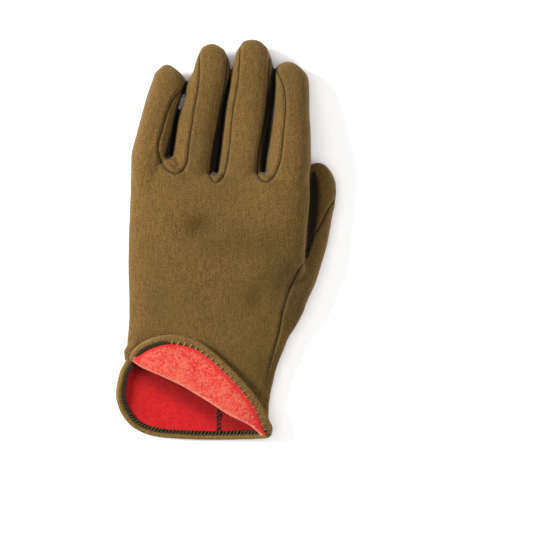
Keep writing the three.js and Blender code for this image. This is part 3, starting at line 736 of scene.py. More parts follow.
def sectionRings(y, centre, halfWidth, half, sides, inset, middle=None, rise=None, slim=None):
    angle = math.tau * np.arange(sides) / sides
    aside = roundedPower(np.cos(angle))[None, :]
    wider = 0
    if slim is not None:
        upper = smoothStep(np.sin(angle) / slimming["fullAt"])[None, :]
        beside = np.exp(-(np.sin(angle) / slimming["pressSpread"]) ** 2)[None, :]
        slimmer = np.where(aside < 0, slim["left"][:, None], slim["right"][:, None])
        press = np.where(aside < 0, slim["pressLeft"][:, None], slim["pressRight"][:, None])
        wider = millimetre * (press * beside - slimmer * upper)
    x = centre[:, None] + (halfWidth[:, None] + wider) * aside
    lift = roundedPower(np.sin(angle))[None, :]
    yHere = np.broadcast_to(y[:, None], x.shape)
    if rise is not None:
        yHere = yHere + rise(x)
    if middle is None:
        mid = middleHeight(x, yHere)
        dent = dentAt(x, yHere) * np.maximum(lift, 0)
    else:
        mid = np.broadcast_to(middle[:, None], x.shape)
        dent = 0
    z = np.maximum(mid + half[:, None] * lift - dent, inset)
    return np.stack([x, yHere, z], axis=-1)


def meshFrom(points, faces):
    mesh = bpy.data.meshes.new("shape")
    mesh.from_pydata(np.asarray(points).tolist(), [], faces)
    mesh.update()
    return mesh


# Closed surface through rings, with a fan at each end
def loftMesh(rings):
    rows, sides, _ = rings.shape
    points = np.vstack([rings.reshape(-1, 3), rings[0].mean(axis=0), rings[-1].mean(axis=0)])
    first, last = rows * sides, rows * sides + 1
    faces = []
    for row in range(rows - 1):
        a = row * sides
        b = a + sides
        faces += [(a + i, b + i, b + (i + 1) % sides, a + (i + 1) % sides) for i in range(sides)]
    faces += [(first, i, (i + 1) % sides) for i in range(sides)]
    base = (rows - 1) * sides
    faces += [(last, base + (i + 1) % sides, base + i) for i in range(sides)]
    return meshFrom(points, faces)


def webRise(x):
    side = x / (percent * glove["palmWidth"])
    share = (pinkyWeb["from"] - side) / (pinkyWeb["from"] - pinkyWeb["to"])
    return along(pinkyWeb["rise"]) * smoothStep(share)


# Pockets at the bottoms of the gaps: a round slot in plan from one point to another, half way deep
pockets = table("across along toAcross toAlong radius", [
    (-28.4, 71.9, -25.8, 76.4, 1.7),
    (-2.2, 67.1, -0.3, 73.0, 1.9),
    (24.4, 67.1, 25.9, 73.0, 2.0),
])
pocketDepth = 0.0015


def pocketPrisms(inset):
    for pocket in pockets:
        radius = millimetre * pocket["radius"] + inset
        near = np.array([across(pocket["across"]), along(pocket["along"])])
        far = np.array([across(pocket["toAcross"]), along(pocket["toAlong"])])
        heading = math.atan2(*(far - near)[::-1])
        bend = np.linspace(-math.pi / 2, math.pi / 2, 13)
        arcs = []
        for centre, turn in ((far, heading), (near, heading + math.pi)):
            arcs.append(centre + radius * np.stack([np.cos(turn + bend), np.sin(turn + bend)], axis=1))
        yield prism(np.vstack(arcs), float(middleHeight(*near)) - pocketDepth - inset)


fine = {
    "rowStep": 1.0, "webRings": 22, "digitRings": 90, "tipCrowding": 1.6, "leastShare": 0.02,
    "handSides": 144, "digitSides": 72,
    "voxel": 0.0008, "smoothing": 14, "innerVoxel": 0.0012, "innerSmoothing": 6,
}


def handMesh(inset):
    last = handRows[-1]["along"]
    places = np.arange(handRows[0]["along"], last + fine["rowStep"] / 2, fine["rowStep"])
    places[0] -= inset / (percent * glove["length"])
    y = along(places)
    centre, halfWidth, half = handSection(y)
    body = sectionRings(y, centre, halfWidth - inset, half - inset, fine["handSides"], inset)
    webPlaces = np.linspace(webRows[0]["along"], webRows[-1]["along"], fine["webRings"])
    shares = columnAt(webRows, "half", webPlaces) * percent
    outward = (webPlaces - webPlaces[0]) / (webPlaces[-1] - webPlaces[0])
    lastHalf = handRows[-1]["half"] * percent * glove["handThickness"] - inset
    left, right = across(webEdges["left"]), across(webEdges["right"])
    ends = np.full(webPlaces.shape, (left + right) / 2)
    widths = np.full(webPlaces.shape, (right - left) / 2 - inset)
    web = sectionRings(
        along(webPlaces) - inset * outward, ends, widths, lastHalf * shares, fine["handSides"], inset,
        rise=lambda x: outward[:, None] * webRise(x),
    )
    return loftMesh(np.concatenate([body, web]))


def digitMesh(digit, thickness, inset):
    rows, width, (tipAlong, tipAcross) = digit["rows"], digit["width"], digit["tip"]
    widest = max(row["width"] for row in rows) * percent * width / 2
    thickest = max(row["thickness"] for row in rows) * percent * thickness / 2
    closed = rows + [dict(rows[-1], along=tipAlong, centre=tipAcross, width=0, thickness=0)]
    start = rows[0]["along"]
    # more rings towards the tip, where the section closes quickly
    t = np.linspace(0, 1, fine["digitRings"])
    places = (start + (tipAlong - start) * (1 - (1 - t) ** fine["tipCrowding"]))[:-1]
    shrink = 1 - inset / (along(tipAlong) - along(start))
    y = along(start) + (along(places) - along(start)) * shrink
    widthShare, thickShare = (
        np.maximum(tipRounded(closed, key, places), fine["leastShare"]) for key in ("width", "thickness")
    )
    centre = across(columnAt(closed, "centre", places))
    halfWidth = widthShare * width / 2 * (1 - inset / widest)
    half = thickShare * thickness / 2 * (1 - inset / thickest)
    middle = None
    if "rise" in rows[0]:
        middle = columnAt(closed, "rise", places) * percent * thickness / 2
    slim = None
    if "slim" in digit:
        slim = {
            side: columnAt(digit["slim"], side, places) if side in digit["slim"][0] else 0 * places
            for side in slimSides.split()
        }
    return loftMesh(sectionRings(
        y, centre, halfWidth, half, fine["digitSides"], max(inset, 0), middle, slim=slim
    ))


# Column share with a round end: past the last row it falls as a circle does
def tipRounded(rows, key, places):
    last, tip = rows[-2]["along"], rows[-1]["along"]
    body = columnAt(rows[:-1], key, np.minimum(places, last))
    t = np.clip((places - last) / (tip - last), 0, 1)
    return body * percent * np.sqrt(1 - t)


def thumbMesh(inset):
    return digitMesh(thumb, glove["thumbThickness"], inset)


def evaluated(mesh, *modifiers):
    holder = bpy.data.objects.new("holder", mesh)
    scene.collection.objects.link(holder)
    for kind, settings in modifiers:
        modifier = holder.modifiers.new(kind, kind)
        for name, value in settings.items():
            setattr(modifier, name, value)
    graph = bpy.context.evaluated_depsgraph_get()
    result = bpy.data.meshes.new_from_object(holder.evaluated_get(graph))
    bpy.data.objects.remove(holder)
    return result


def combining(operation):
    def combine(first, *others):
        for other in others:
            tool = bpy.data.objects.new("tool", other)
            scene.collection.objects.link(tool)
            settings = {"operation": operation, "solver": "MANIFOLD", "object": tool}
            first = evaluated(first, ("BOOLEAN", settings))
            bpy.data.objects.remove(tool)
        return first

    return combine


without, within, joinedWith = (combining(kind) for kind in ("DIFFERENCE", "INTERSECT", "UNION"))


def vertexValues(mesh, name):
    values = np.empty(3 * len(mesh.vertices), np.float32)
    mesh.vertices.foreach_get(name, values)
    return values.reshape(-1, 3).astype(float)


def pointsOf(mesh):
    return vertexValues(mesh, "co")


def setPoints(mesh, points):
    mesh.vertices.foreach_set("co", np.ascontiguousarray(points, np.float32).ravel())
    mesh.update()


def setValue(mesh, name, values):
    attribute = mesh.attributes.new(name, "FLOAT", "POINT")
    attribute.data.foreach_set("value", np.ascontiguousarray(values, np.float32))


# Glove form: one hand, four fingers and the thumb, melted together and smoothed
def gloveForm(inset, voxel, smoothing):
    parts = [without(handMesh(inset), *pocketPrisms(inset)), thumbMesh(inset)]
    for digit in digits.values():
        parts.append(digitMesh(digit, glove["fingerThickness"], inset))
    points, faces, start = [], [], 0
    for part in parts:
        points.append(pointsOf(part))
        faces += [tuple(start + v for v in polygon.vertices) for polygon in part.polygons]
        start += len(part.vertices)
    mesh = meshFrom(np.vstack(points), faces)
    return evaluated(
        mesh,
        ("REMESH", {"mode": "VOXEL", "voxel_size": voxel}),
        ("SMOOTH", {"factor": 0.5, "iterations": smoothing}),
    )


# Centripetal curve through plan or space points, read at shares of its list of points
def curveAt(points, shares):
    points = np.asarray(points, float)
    count = len(points)
    ahead = np.vstack([2 * points[0] - points[1], points, 2 * points[-1] - points[-2]])
    place = np.clip(np.asarray(shares, float), 0, 1) * (count - 1)
    index = np.minimum(place.astype(int), count - 2)
    t = (place - index)[:, None]
    p0, p1, p2, p3 = (ahead[index + k] for k in range(4))
    steps = (p1 - p0, p2 - p1, p3 - p2)
    d0, d1, d2 = (np.sqrt(np.linalg.norm(step, axis=1))[:, None] for step in steps)
    startSlope = ((p1 - p0) / d0 - (p2 - p0) / (d0 + d1) + (p2 - p1) / d1) * d1
    endSlope = ((p2 - p1) / d1 - (p3 - p1) / (d1 + d2) + (p3 - p2) / d2) * d1
    return between(p1, p2, startSlope, endSlope, t)


def edgeLine(pairs, count):
    return curveAt(planPoints(pairs), np.linspace(0, 1, count))


def smoothSeam(pairs):
    return edgeLine(pairs, 10 * (len(pairs) - 1) + 1)


# Twice the area that an outline goes round, above zero where it runs to the left
def turnOf(points):
    after = np.roll(points, -1, axis=0)
    return np.sum(points[:, 0] * after[:, 1] - after[:, 0] * points[:, 1])


def grownOutline(points, growth):
    into = unit(points - np.roll(points, 1, axis=0))
    out = unit(np.roll(points, -1, axis=0) - points)
    side = np.sign(turnOf(points))
    bisector = np.stack([into[:, 1] + out[:, 1], -into[:, 0] - out[:, 0]], axis=1) * side
    size = np.maximum(np.linalg.norm(bisector, axis=1), 1e-9)[:, None]
    return points + growth * bisector / size / np.maximum(size / 2, 0.5)


# Cutting solids reach well past the glove on every side
room = {
    "low": -0.03, "high": 0.09, "across": (-76, 76, 60), "along": (-12.5, 106, 90), "top": 0.084,
}


def prism(outline, low=room["low"]):
    if turnOf(outline) < 0:
        outline = outline[::-1]
    count = len(outline)
    points = np.vstack([np.c_[outline, np.full(count, height)] for height in (low, room["high"])])
    faces = [tuple(range(count - 1, -1, -1)), tuple(range(count, 2 * count))]
    faces += [(i, (i + 1) % count, count + (i + 1) % count, count + i) for i in range(count)]
    return meshFrom(points, faces)


# Closed solid between two grids of points, each of rows by columns
def slabMesh(top, bottom):
    rows, columns, _ = top.shape
    points = np.vstack([top.reshape(-1, 3), bottom.reshape(-1, 3)])
    lower = rows * columns
    faces = []
    for j in range(rows - 1):
        for i in range(columns - 1):
            a = j * columns + i
            faces.append((a, a + 1, a + 1 + columns, a + columns))
            faces.append((lower + a, lower + a + columns, lower + a + 1 + columns, lower + a + 1))
    for i in range(columns - 1):
        far = (rows - 1) * columns + i
        faces.append((i, lower + i, lower + i + 1, i + 1))
        faces.append((far, far + 1, lower + far + 1, lower + far))
    for j in range(rows - 1):
        left = j * columns
        right = left + columns - 1
        faces.append((left, left + columns, lower + left + columns, lower + left))
        faces.append((right, lower + right, lower + right + columns, right + columns))
    return facedOut(meshFrom(points, faces))


def facedOut(mesh):
    points = pointsOf(mesh)
    mesh.calc_loop_triangles()
    corners = np.empty(3 * len(mesh.loop_triangles), np.int32)
    mesh.loop_triangles.foreach_get("vertices", corners)
    a, b, c = (points[corners.reshape(-1, 3)[:, k]] for k in range(3))
    if np.sum(a * np.cross(b, c)) < 0:
        mesh.flip_normals()
    return mesh


def aboveMiddle(offset):
    x, y = np.meshgrid(across(np.linspace(*room["across"])), along(np.linspace(*room["along"])))
    bottom = np.stack([x, y, middleHeight(x, y) + offset], axis=-1)
    top = np.stack([x, y, np.full(x.shape, room["top"])], axis=-1)
    return slabMesh(top, bottom)


# Fold line of the cuff: its ends, its way in from the mouth, and points on its bow
def foldAxis():
    start, end = planPoints([foldLine["left"], foldLine["right"]])
    direction = (end - start) / np.linalg.norm(end - start)
    return start, end, np.array([-direction[1], direction[0]])


def foldPoints(shares):
    start, end, towards = foldAxis()
    shares = np.asarray(shares, float)[:, None]
    shift = foldLine["shift"] * smoothStep(shares / foldLine["shiftRise"])
    shift = shift * smoothStep((foldLine["shiftEnd"] - shares) / foldLine["shiftFall"])
    bow = 4 * shares * (1 - shares) * foldLine["bow"]
    return start + (end - start) * shares + towards * (bow + shift)


flap = {
    "columns": 110, "bendSteps": 10, "spans": 34, "margin": 0.015, "root": 0.003, "shortest": 0.0006,
    "wave": 0.00045, "hemWidth": 0.006, "tightEnd": 0.42, "curl": 0.0014, "tightRight": 0.24,
    "tightLeft": 0.12, "tightStart": 0.05, "curlFrom": 0.02, "curlRise": 0.12, "curlTo": 0.5,
    "curlFall": 0.3,
}


# Where the flap's edge curls up from the hand, by its share from the left corner
def curlAt(shares):
    rise = smoothStep((shares - flap["curlFrom"]) / flap["curlRise"])
    return rise * smoothStep((flap["curlTo"] - shares) / flap["curlFall"])


# How wide the roll of the fold is, by the same share: it is pulled tight at the right end
def tightAt(shares):
    right = smoothStep((1 - shares) / flap["tightRight"])
    ends = np.minimum(right, smoothStep((shares + flap["tightStart"]) / flap["tightLeft"]))
    return flap["tightEnd"] + (1 - flap["tightEnd"]) * ends


# The sheet that turns over the fold and lies back on the hand
def foldedSheet(inner, wall):
    shares = np.linspace(flap["margin"], 1 - flap["margin"], flap["columns"])
    fold = foldPoints(shares)
    edge = curveAt(planPoints(flapEdge), shares)
    outward = unit(fold - edge)
    reach = np.linalg.norm(fold - edge, axis=1)
    flapLength = np.maximum(reach - flap["hemWidth"] / 2, flap["shortest"])
    tight = tightAt(shares)
    axis = handHeight(fold[:, 0], fold[:, 1], 1) + glove["foldRadius"]
    layers = []
    for radius in (inner * tight, (inner + wall) * tight):
        root = fold - outward * flap["root"]
        rootHeight = handHeight(root[:, 0], root[:, 1], 1) + glove["foldRadius"] - radius
        rows = [np.c_[root, rootHeight]]
        for step in range(flap["bendSteps"] + 1):
            angle = -math.pi / 2 + math.pi * step / flap["bendSteps"]
            place = fold + outward * (radius * math.cos(angle))[:, None]
            rows.append(np.c_[place, axis + radius * math.sin(angle)])
        for step in range(1, flap["spans"] + 1):
            part = step / flap["spans"]
            place = fold - outward * (flapLength * part)[:, None]
            height = handHeight(place[:, 0], place[:, 1], 1) + glove["foldRadius"] + radius
            puff = flap["wave"] * math.sin(math.pi * part) * (1 + np.sin(9 * shares + 2 * part))
            curl = flap["curl"] * part ** 3 * curlAt(shares)
            rows.append(np.c_[place, height + puff + curl])
        layers.append(np.stack(rows))
    return slabMesh(layers[1], layers[0])


hemBand = {
    "width": 0.006, "thickness": 0.0042, "cornerShare": 0.09, "steps": 260, "sides": 24,
    "slope": 0.45, "peakAt": 0.45, "faceRound": 0.8, "sideRound": 0.62, "curlOuter": 0.0030,
    "curlInner": 0.0010, "roundEnd": 0.012, "endSize": 0.08, "jerseyTrim": 0.5, "liningTrim": 0.86,
}


def inwardAt(points, aims):
    tangent = unit(np.gradient(points, axis=0))
    inward = np.stack([-tangent[:, 1], tangent[:, 0]], axis=1)
    turned = np.sum(inward * (aims - points), axis=1) < 0
    inward[turned] *= -1
    return inward


# Both edges of a band in space, at two distances in from the mouth's outline
def bandBorders(edge, inward, shares, shifts, heightAt, curled):
    corner = 1 - smoothStep(np.minimum(shares, 1 - shares) / hemBand["cornerShare"])
    curls = (hemBand["curlOuter"], hemBand["curlInner"]) if curled else (0, 0)
    for shift, curl in zip(shifts, curls):
        place = edge + inward * shift
        own = heightAt(place[:, 0], place[:, 1]) + curl * curlAt(shares)
        shared = middleHeight(edge[:, 0], edge[:, 1]) + stackHeight / 2
        yield np.c_[place, own * (1 - corner) + shared * corner]


# Height of the band's top over its middle, by the share of its width
def slopeAt(depth):
    return 1 + hemBand["slope"] * (hemBand["peakAt"] - depth)


def bandMesh(edgePairs, aims, heightAt, curled, growth):
    shares = np.linspace(0, 1, hemBand["steps"] + 1)
    edge = curveAt(planPoints(edgePairs), shares)
    shifts = (-growth, hemBand["width"] + growth)
    outer, inner = bandBorders(edge, inwardAt(edge, aims(shares)), shares, shifts, heightAt, curled)
    tangent = unit(np.gradient(outer, axis=0))
    inward = inner - outer
    inward = unit(inward - tangent * np.sum(inward * tangent, axis=1)[:, None])
    normal = np.cross(tangent, inward)
    normal = normal * np.sign(normal[:, 2:3])
    width = hemBand["width"] + 2 * growth
    half = hemBand["thickness"] / 2 + growth
    angle = math.tau * (np.arange(hemBand["sides"]) + 0.5) / hemBand["sides"]
    aside, lift = np.cos(angle), np.sin(angle)
    depth = 0.5 - 0.5 * np.sign(aside) * np.abs(aside) ** hemBand["faceRound"]
    side = np.sign(lift) * np.abs(lift) ** hemBand["sideRound"]
    side = np.where(side > 0, side * slopeAt(depth), side)
    # the band rounds off at both ends
    ending = np.minimum(shares, 1 - shares) / hemBand["roundEnd"]
    roundness = np.sqrt(1 - (1 - np.clip(ending, 0, 1)) ** 2)
    roundness = roundness * (1 - hemBand["endSize"]) + hemBand["endSize"]
    depthHere = 0.5 + (depth[None, :] - 0.5) * roundness[:, None]
    rings = (
        outer[:, None, :] + inward[:, None, :] * (depthHere * width)[:, :, None]
        + normal[:, None, :] * (side[None, :] * half * roundness[:, None])[:, :, None]
    )
    rings[..., 2] = np.maximum(rings[..., 2], 0)
    return facedOut(loftMesh(rings))


def palmHemHeight(x, y):
    return np.maximum(handHeight(x, y, -1) + stackHeight / 2, hemBand["thickness"] / 2)


def flapHemHeight(x, y):
    return handHeight(x, y, 1) + 2 * glove["foldRadius"] + stackHeight / 2


def palmAims(shares):
    return planPoints([mouthMiddle])


palmSide = (palmEdge, palmAims, palmHemHeight, False)
flapSide = (flapEdge, foldPoints, flapHemHeight, True)


def hemMesh(growth):
    return joinedWith(bandMesh(*palmSide, growth), bandMesh(*flapSide, growth))


# Outline that goes along a line and then round by two far corners
def outlineBy(line, far):
    left, right = (farLeft, line[0, 1]), (farRight, line[-1, 1])
    return np.vstack([left, line, right, (farRight, far), (farLeft, far)])


def mouthOutline(shift):
    return outlineBy(foldPoints(np.linspace(0, 1, 60)), farNear) - np.array([0, shift])


def trimOutline(share):
    edge = edgeLine(palmEdge, 160)
    inward = inwardAt(edge, planPoints([mouthMiddle]))
    return outlineBy(edge + inward * hemBand["width"] * share, farEnd)


# Seams in plan: distance to them, and whether a point lies in the back's outline
def backOutline():
    runs = [planPoints([(-75, -12), (-75, 96)])]
    runs += [smoothSeam(pairs) for pairs in crotchSeams.values()]
    runs += [planPoints([(75, 98), (75, 46)]), smoothSeam(stripSeam)]
    return np.vstack(runs)


farFromSeam = 0.012  # past this much no seam shows, and the distance isn't worked out


def distanceTo(path, plan):
    best = np.full(len(plan), 1.0)
    for start, end in zip(path[:-1], path[1:]):
        near = np.all(np.abs(plan - (start + end) / 2) < farFromSeam, axis=1)
        if not near.any():
            continue
        local = plan[near]
        span = end - start
        t = np.clip((local - start) @ span / max(span @ span, 1e-12), 0, 1)
        gap = np.linalg.norm(local - start - t[:, None] * span, axis=1)
        best[near] = np.minimum(best[near], gap)
    return best


def insideOutline(outline, plan):
    inside = np.zeros(len(plan), bool)
    for (x0, y0), (x1, y1) in zip(outline, np.roll(outline, -1, axis=0)):
        crosses = (y0 > plan[:, 1]) != (y1 > plan[:, 1])
        if not crosses.any():
            continue
        where = x0 + (plan[:, 1] - y0) * (x1 - x0) / (y1 - y0 if y1 != y0 else 1e-12)
        inside ^= crosses & (plan[:, 0] < where)
    return inside


seamRelief = {
    "valley": 0.00065, "valleyWidth": 0.0008, "rollAt": 0.0022, "rollWidth": 0.0014,
    "roll": 0.0006, "insideShare": 0.5, "outsideShare": 0.6, "crotchShare": 1.1,
    "crotchFrom": 0.006, "crotchSpan": 0.02, "palmShare": 0.5, "thumbRoll": 0.0002, "soft": 0.002,
}
stripFade = {"least": 0.2, "from": 10, "span": 18}
unevenness = table("height scale seed", [(0.00050, 34.0, 1), (0.00022, 95.0, 2)])
# Small folds where seams meet: a groove or, with a negative depth, a ridge between two points in plan
puckers = table("across along toAcross toAlong depth width", [
    (-33.5, 68.9, -26.5, 70.8, 0.7, 0.8),
    (-32.4, 71.3, -28.6, 67.8, 0.6, 0.8),
    (-24.4, 67.6, -18.6, 67.2, 0.6, 0.9),
    (-55.5, 21.6, -47.5, 23.8, -1.3, 2.4),
    (-54.0, 23.4, -49.0, 25.6, 0.6, 1.2),
    (-51.5, 26.0, -46.5, 33.0, 0.35, 2.2),
    (30.0, 48.0, 43.0, 43.5, 0.5, 2.6),
    (36.0, 41.0, 44.0, 42.5, 0.4, 2.0),
])


# The strip's seam is pulled tight at the thumb and lies flat towards the hem
def fadeDown(points):
    share = smoothStep((points[:, 1] - along(stripFade["from"])) / along(stripFade["span"]))
    return stripFade["least"] + (1 - stripFade["least"]) * share


def seamProfile(distance, roll):
    valley = -seamRelief["valley"] * np.exp(-(distance / seamRelief["valleyWidth"]) ** 2)
    return valley + roll * np.exp(-((distance - seamRelief["rollAt"]) / seamRelief["rollWidth"]) ** 2)


# Height over the surface half way between palm and back
def raisedBy(points):
    return points[:, 2] - middleHeight(points[:, 0], points[:, 1])


def softNoise(points, scale, seed):
    shift = Vector((seed * 7.3, seed * 3.1, seed * 5.7))
    return np.array([noise.noise(Vector(point) * scale + shift) for point in points])


# Outer skin with its seams pressed in, its rolls and its soft unevenness
def outerSkin():
    skin = gloveForm(0, fine["voxel"], fine["smoothing"])
    points = pointsOf(skin)
    normals = vertexValues(skin, "normal")
    plan = points[:, :2]
    raised = raisedBy(points)
    roll, soft = seamRelief["roll"], seamRelief["soft"]
    above = smoothStep((raised + soft / 2) / soft) * smoothStep((normals[:, 2] + 0.25) / 0.4)
    inside = insideOutline(backOutline(), plan)
    move = np.zeros(len(points))
    for pairs in crotchSeams.values():
        path = smoothSeam(pairs)
        beyond = points[:, 1] - path[:, 1].min() - seamRelief["crotchFrom"]
        near = 1 - smoothStep(beyond / seamRelief["crotchSpan"])
        share = seamRelief["outsideShare"] + seamRelief["crotchShare"] * near
        share = np.where(inside, seamRelief["insideShare"], share)
        move += above * seamProfile(distanceTo(path, plan), share * roll)
    distance = distanceTo(smoothSeam(stripSeam), plan)
    move += above * fadeDown(points) * seamProfile(distance, seamRelief["outsideShare"] * roll)
    below = smoothStep(-raised / soft) * smoothStep((0.25 - normals[:, 2]) / 0.4)
    distance = distanceTo(smoothSeam(palmSeam), plan)
    move += below * seamProfile(distance, seamRelief["palmShare"] * roll)
    onThumb = (points[:, 2] > glove["thumbThickness"] * 0.5) & (above < 0.5)
    distance = distanceTo(smoothSeam(thumbSeam), plan)
    move += onThumb * (normals[:, 2] > -0.1) * seamProfile(distance, seamRelief["thumbRoll"])
    for pucker in puckers:
        ends = planPoints([(pucker["across"], pucker["along"]), (pucker["toAcross"], pucker["toAlong"])])
        share = distanceTo(ends, plan) / (millimetre * pucker["width"])
        move -= above * millimetre * pucker["depth"] * np.exp(-share ** 2)
    for wave in unevenness:
        move += wave["height"] * softNoise(points, wave["scale"], wave["seed"])
    points = points + normals * move[:, None]
    points[:, 2] = np.maximum(points[:, 2], 0)
    setPoints(skin, points)
    return skin


def finishPiece(name, mesh, material, node, values):
    for valueName, function in values.items():
        setValue(mesh, valueName, function(pointsOf(mesh)))
    setPoints(mesh, pointsOf(mesh) + tableOrigin)
    mesh.name = name
    mesh.materials.clear()
    mesh.materials.append(material)
    mesh.shade_smooth()
    mesh.set_sharp_from_angle(angle=math.radians(42))
    piece = bpy.data.objects.new(name, mesh)
    scene.collection.objects.link(piece)
    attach(piece, "root")
    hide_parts(node)
    print(name, "has", len(mesh.polygons), "faces")
    return piece


skin = outerSkin()
print("outer skin has", len(skin.polygons), "faces")
innerForm = gloveForm(glove["jerseyWall"], fine["innerVoxel"], fine["innerSmoothing"])
trim = prism(trimOutline(hemBand["jerseyTrim"]))
mouthCut = within(prism(mouthOutline(0)), aboveMiddle(-halfGap))
hemBody = hemMesh(0)
hemRoom = hemMesh(glove["seamGap"])
shell = without(within(without(skin, innerForm), trim), mouthCut, hemRoom)
print("shell has", len(shell.polygons), "faces")

outline = backOutline()
backRegion = within(prism(grownOutline(outline, -halfGap)), aboveMiddle(halfGap))
backRoom = within(prism(grownOutline(outline, halfGap)), aboveMiddle(-halfGap))
flapJersey = foldedSheet(glove["foldRadius"], glove["jerseyWall"])
flapJersey = without(flapJersey, hemRoom, handMesh(glove["jerseyWall"]))
backPanel = joinedWith(within(shell, backRegion), flapJersey)
restOfShell = without(shell, backRoom)


def stripOutline():
    right, near = across(90), along(-12)
    return np.vstack([smoothSeam(palmSeam), (right, near), (right, along(45.4))])


def thumbOutline():
    corners = planPoints([(30, 75), (90, 75), (90, 61)])
    return np.vstack([corners, smoothSeam(thumbSeam)])


# The strip's and thumb's piece, grown, and the part of it that the thumb's back is cut from
def thumbPiece(growth):
    strip = prism(grownOutline(stripOutline(), growth))
    return joinedWith(strip, thumbMesh(-growth - thumbMargin))


def thumbAbove(growth):
    return prism(grownOutline(thumbOutline(), growth), glove["thumbThickness"] / 2 - growth)


thumbMargin = 0.001
palmPanel = without(restOfShell, thumbPiece(halfGap))
thumbShell = within(restOfShell, thumbPiece(-halfGap))
thumbBack = within(thumbShell, thumbAbove(-halfGap))
thumbPanel = without(thumbShell, thumbAbove(halfGap))
print("jersey panels cut")


# Painted shade in the seam grooves: how close a point is to a seam that is sewn on its side of the glove
seamDark = {"width": 0.0005, "topDepth": 0.003, "palmDepth": 0.001, "thumbShare": 0.4, "soft": 0.002}


def seamShade(topSeams, palmSeams=(), thumbSeams=()):
    def shade(points):
        raised = raisedBy(points)
        overThumb = points[:, 2] - seamDark["thumbShare"] * glove["thumbThickness"]
        sides = (
            (topSeams, smoothStep((raised + seamDark["topDepth"]) / seamDark["soft"]) * fadeDown(points)),
            (palmSeams, smoothStep((seamDark["palmDepth"] - raised) / seamDark["soft"])),
            (thumbSeams, smoothStep(overThumb / seamDark["soft"])),
        )
        darkness = np.zeros(len(points))
        for seams, weight in sides:
            for pairs in seams:
                near = distanceTo(smoothSeam(pairs), points[:, :2]) / seamDark["width"]
                darkness = np.maximum(darkness, weight * np.exp(-near ** 2))
        return darkness

    return {"groove": shade, "between": inGap, "hollow": inHollow}


# Painted shade in the gaps between the fingers and, last, painted shadow of the hand beside the thumb: middle
# and half width along the glove
gapColumns = "along middle half"
gaps = (
    table(gapColumns, [
        (70.9, -28.6, 2.2), (72.4, -27.6, 2.4), (76.9, -25.4, 1.7), (80.2, -24.3, 1.4), (83.4, -22.7, 1.2),
        (88.1, -19.6, 0.8), (90, -18.6, 0.1),
    ]),
    table(gapColumns, [
        (66.9, -2.4, 2.2), (69, -2.3, 2.9), (73.7, -0.9, 2.8), (78.4, 1.0, 2.2), (83.4, 2.9, 1.8),
        (88.1, 5.0, 1.3), (92, 6.6, 0.3),
    ]),
    table(gapColumns, [
        (67.1, 24.6, 2.0), (70.7, 25.1, 2.4), (76.9, 27.0, 2.8), (83.4, 28.8, 2.6), (88.1, 29.9, 2.1),
        (92.9, 30.9, 1.0), (94.5, 31.2, 0.2),
    ]),
    table(gapColumns, [
        (45.8, 49.3, 0.9), (49.8, 51.1, 1.7), (54.3, 52.7, 2.9), (60.4, 53.5, 3.4), (64.6, 53.5, 2.7),
        (66.6, 53.4, 1.2),
    ]),
)
gapShade = {
    "left": 1.2, "right": 0.6, "thumb": 1.5, "thumbShare": 0.88, "wider": 1.1,
    "depth": 0.007, "rise": 0.003, "thumbLow": 0.006, "thumbHigh": 0.0195, "thumbFall": 0.002,
}


def inGap(points):
    height = points[:, 2]
    upper = smoothStep((raisedBy(points) + gapShade["depth"]) / gapShade["rise"])
    thumbTop = smoothStep((height - gapShade["thumbLow"]) / gapShade["rise"])
    thumbTop = thumbTop * smoothStep((gapShade["thumbHigh"] - height) / gapShade["thumbFall"])
    place = points[:, 1] / along(1)
    darkness = np.zeros(len(points))
    for rows in gaps:
        middle = across(columnAt(rows, "middle", place))
        half = millimetre * columnAt(rows, "half", place)
        beyond = np.maximum(along(rows[0]["along"]) - points[:, 1], 0)
        beyond = np.maximum(beyond, points[:, 1] - along(rows[-1]["along"]))
        distance = np.hypot(points[:, 0] - middle, beyond) / half
        soft = np.where(points[:, 0] < middle, gapShade["left"], gapShade["right"])
        weight = upper
        # beside the thumb the painted shadow of the hand lies on the thumb's top
        if rows is gaps[-1]:
            soft = gapShade["thumb"]
            weight = gapShade["thumbShare"] * thumbTop
        near = weight * (1 - smoothStep((distance - gapShade["wider"] + soft / 2) / soft))
        darkness = np.maximum(darkness, near)
    return darkness


# Painted shade in soft darker places on the back of the hand, where the cloth sinks in
hollows = table("across along acrossRadius alongRadius depth", [
    (-11, 53.6, 8.5, 3.0, 0.40),
    (16, 49.5, 24, 5.0, 0.34),
    (33, 42, 11, 8.0, 0.26),
    (43, 34, 8, 9.0, 0.45),
    (21, 35.5, 5, 3.0, 0.28),
    (29, 17, 9, 5.0, 0.40),
    (-44, 24.5, 6, 1.6, 0.25),
])


def inHollow(points):
    above = smoothStep(raisedBy(points) / seamDark["soft"])
    return above * spotsAt(hollows, points[:, 0], points[:, 1])


crotches = tuple(crotchSeams.values())
for name, mesh, node, shade in (
    ("backPanel", backPanel, "back_panel", seamShade((*crotches, stripSeam))),
    ("palmPanel", palmPanel, "palm_panel", seamShade(crotches, (palmSeam,))),
    ("thumbPanel", thumbPanel, "thumb_panel", seamShade((stripSeam,), (palmSeam,), (thumbSeam,))),
    ("thumbBack", thumbBack, "thumb_back", seamShade((), (), (thumbSeam,))),
):
    finishPiece(name, mesh, jerseyCloth, node, shade)

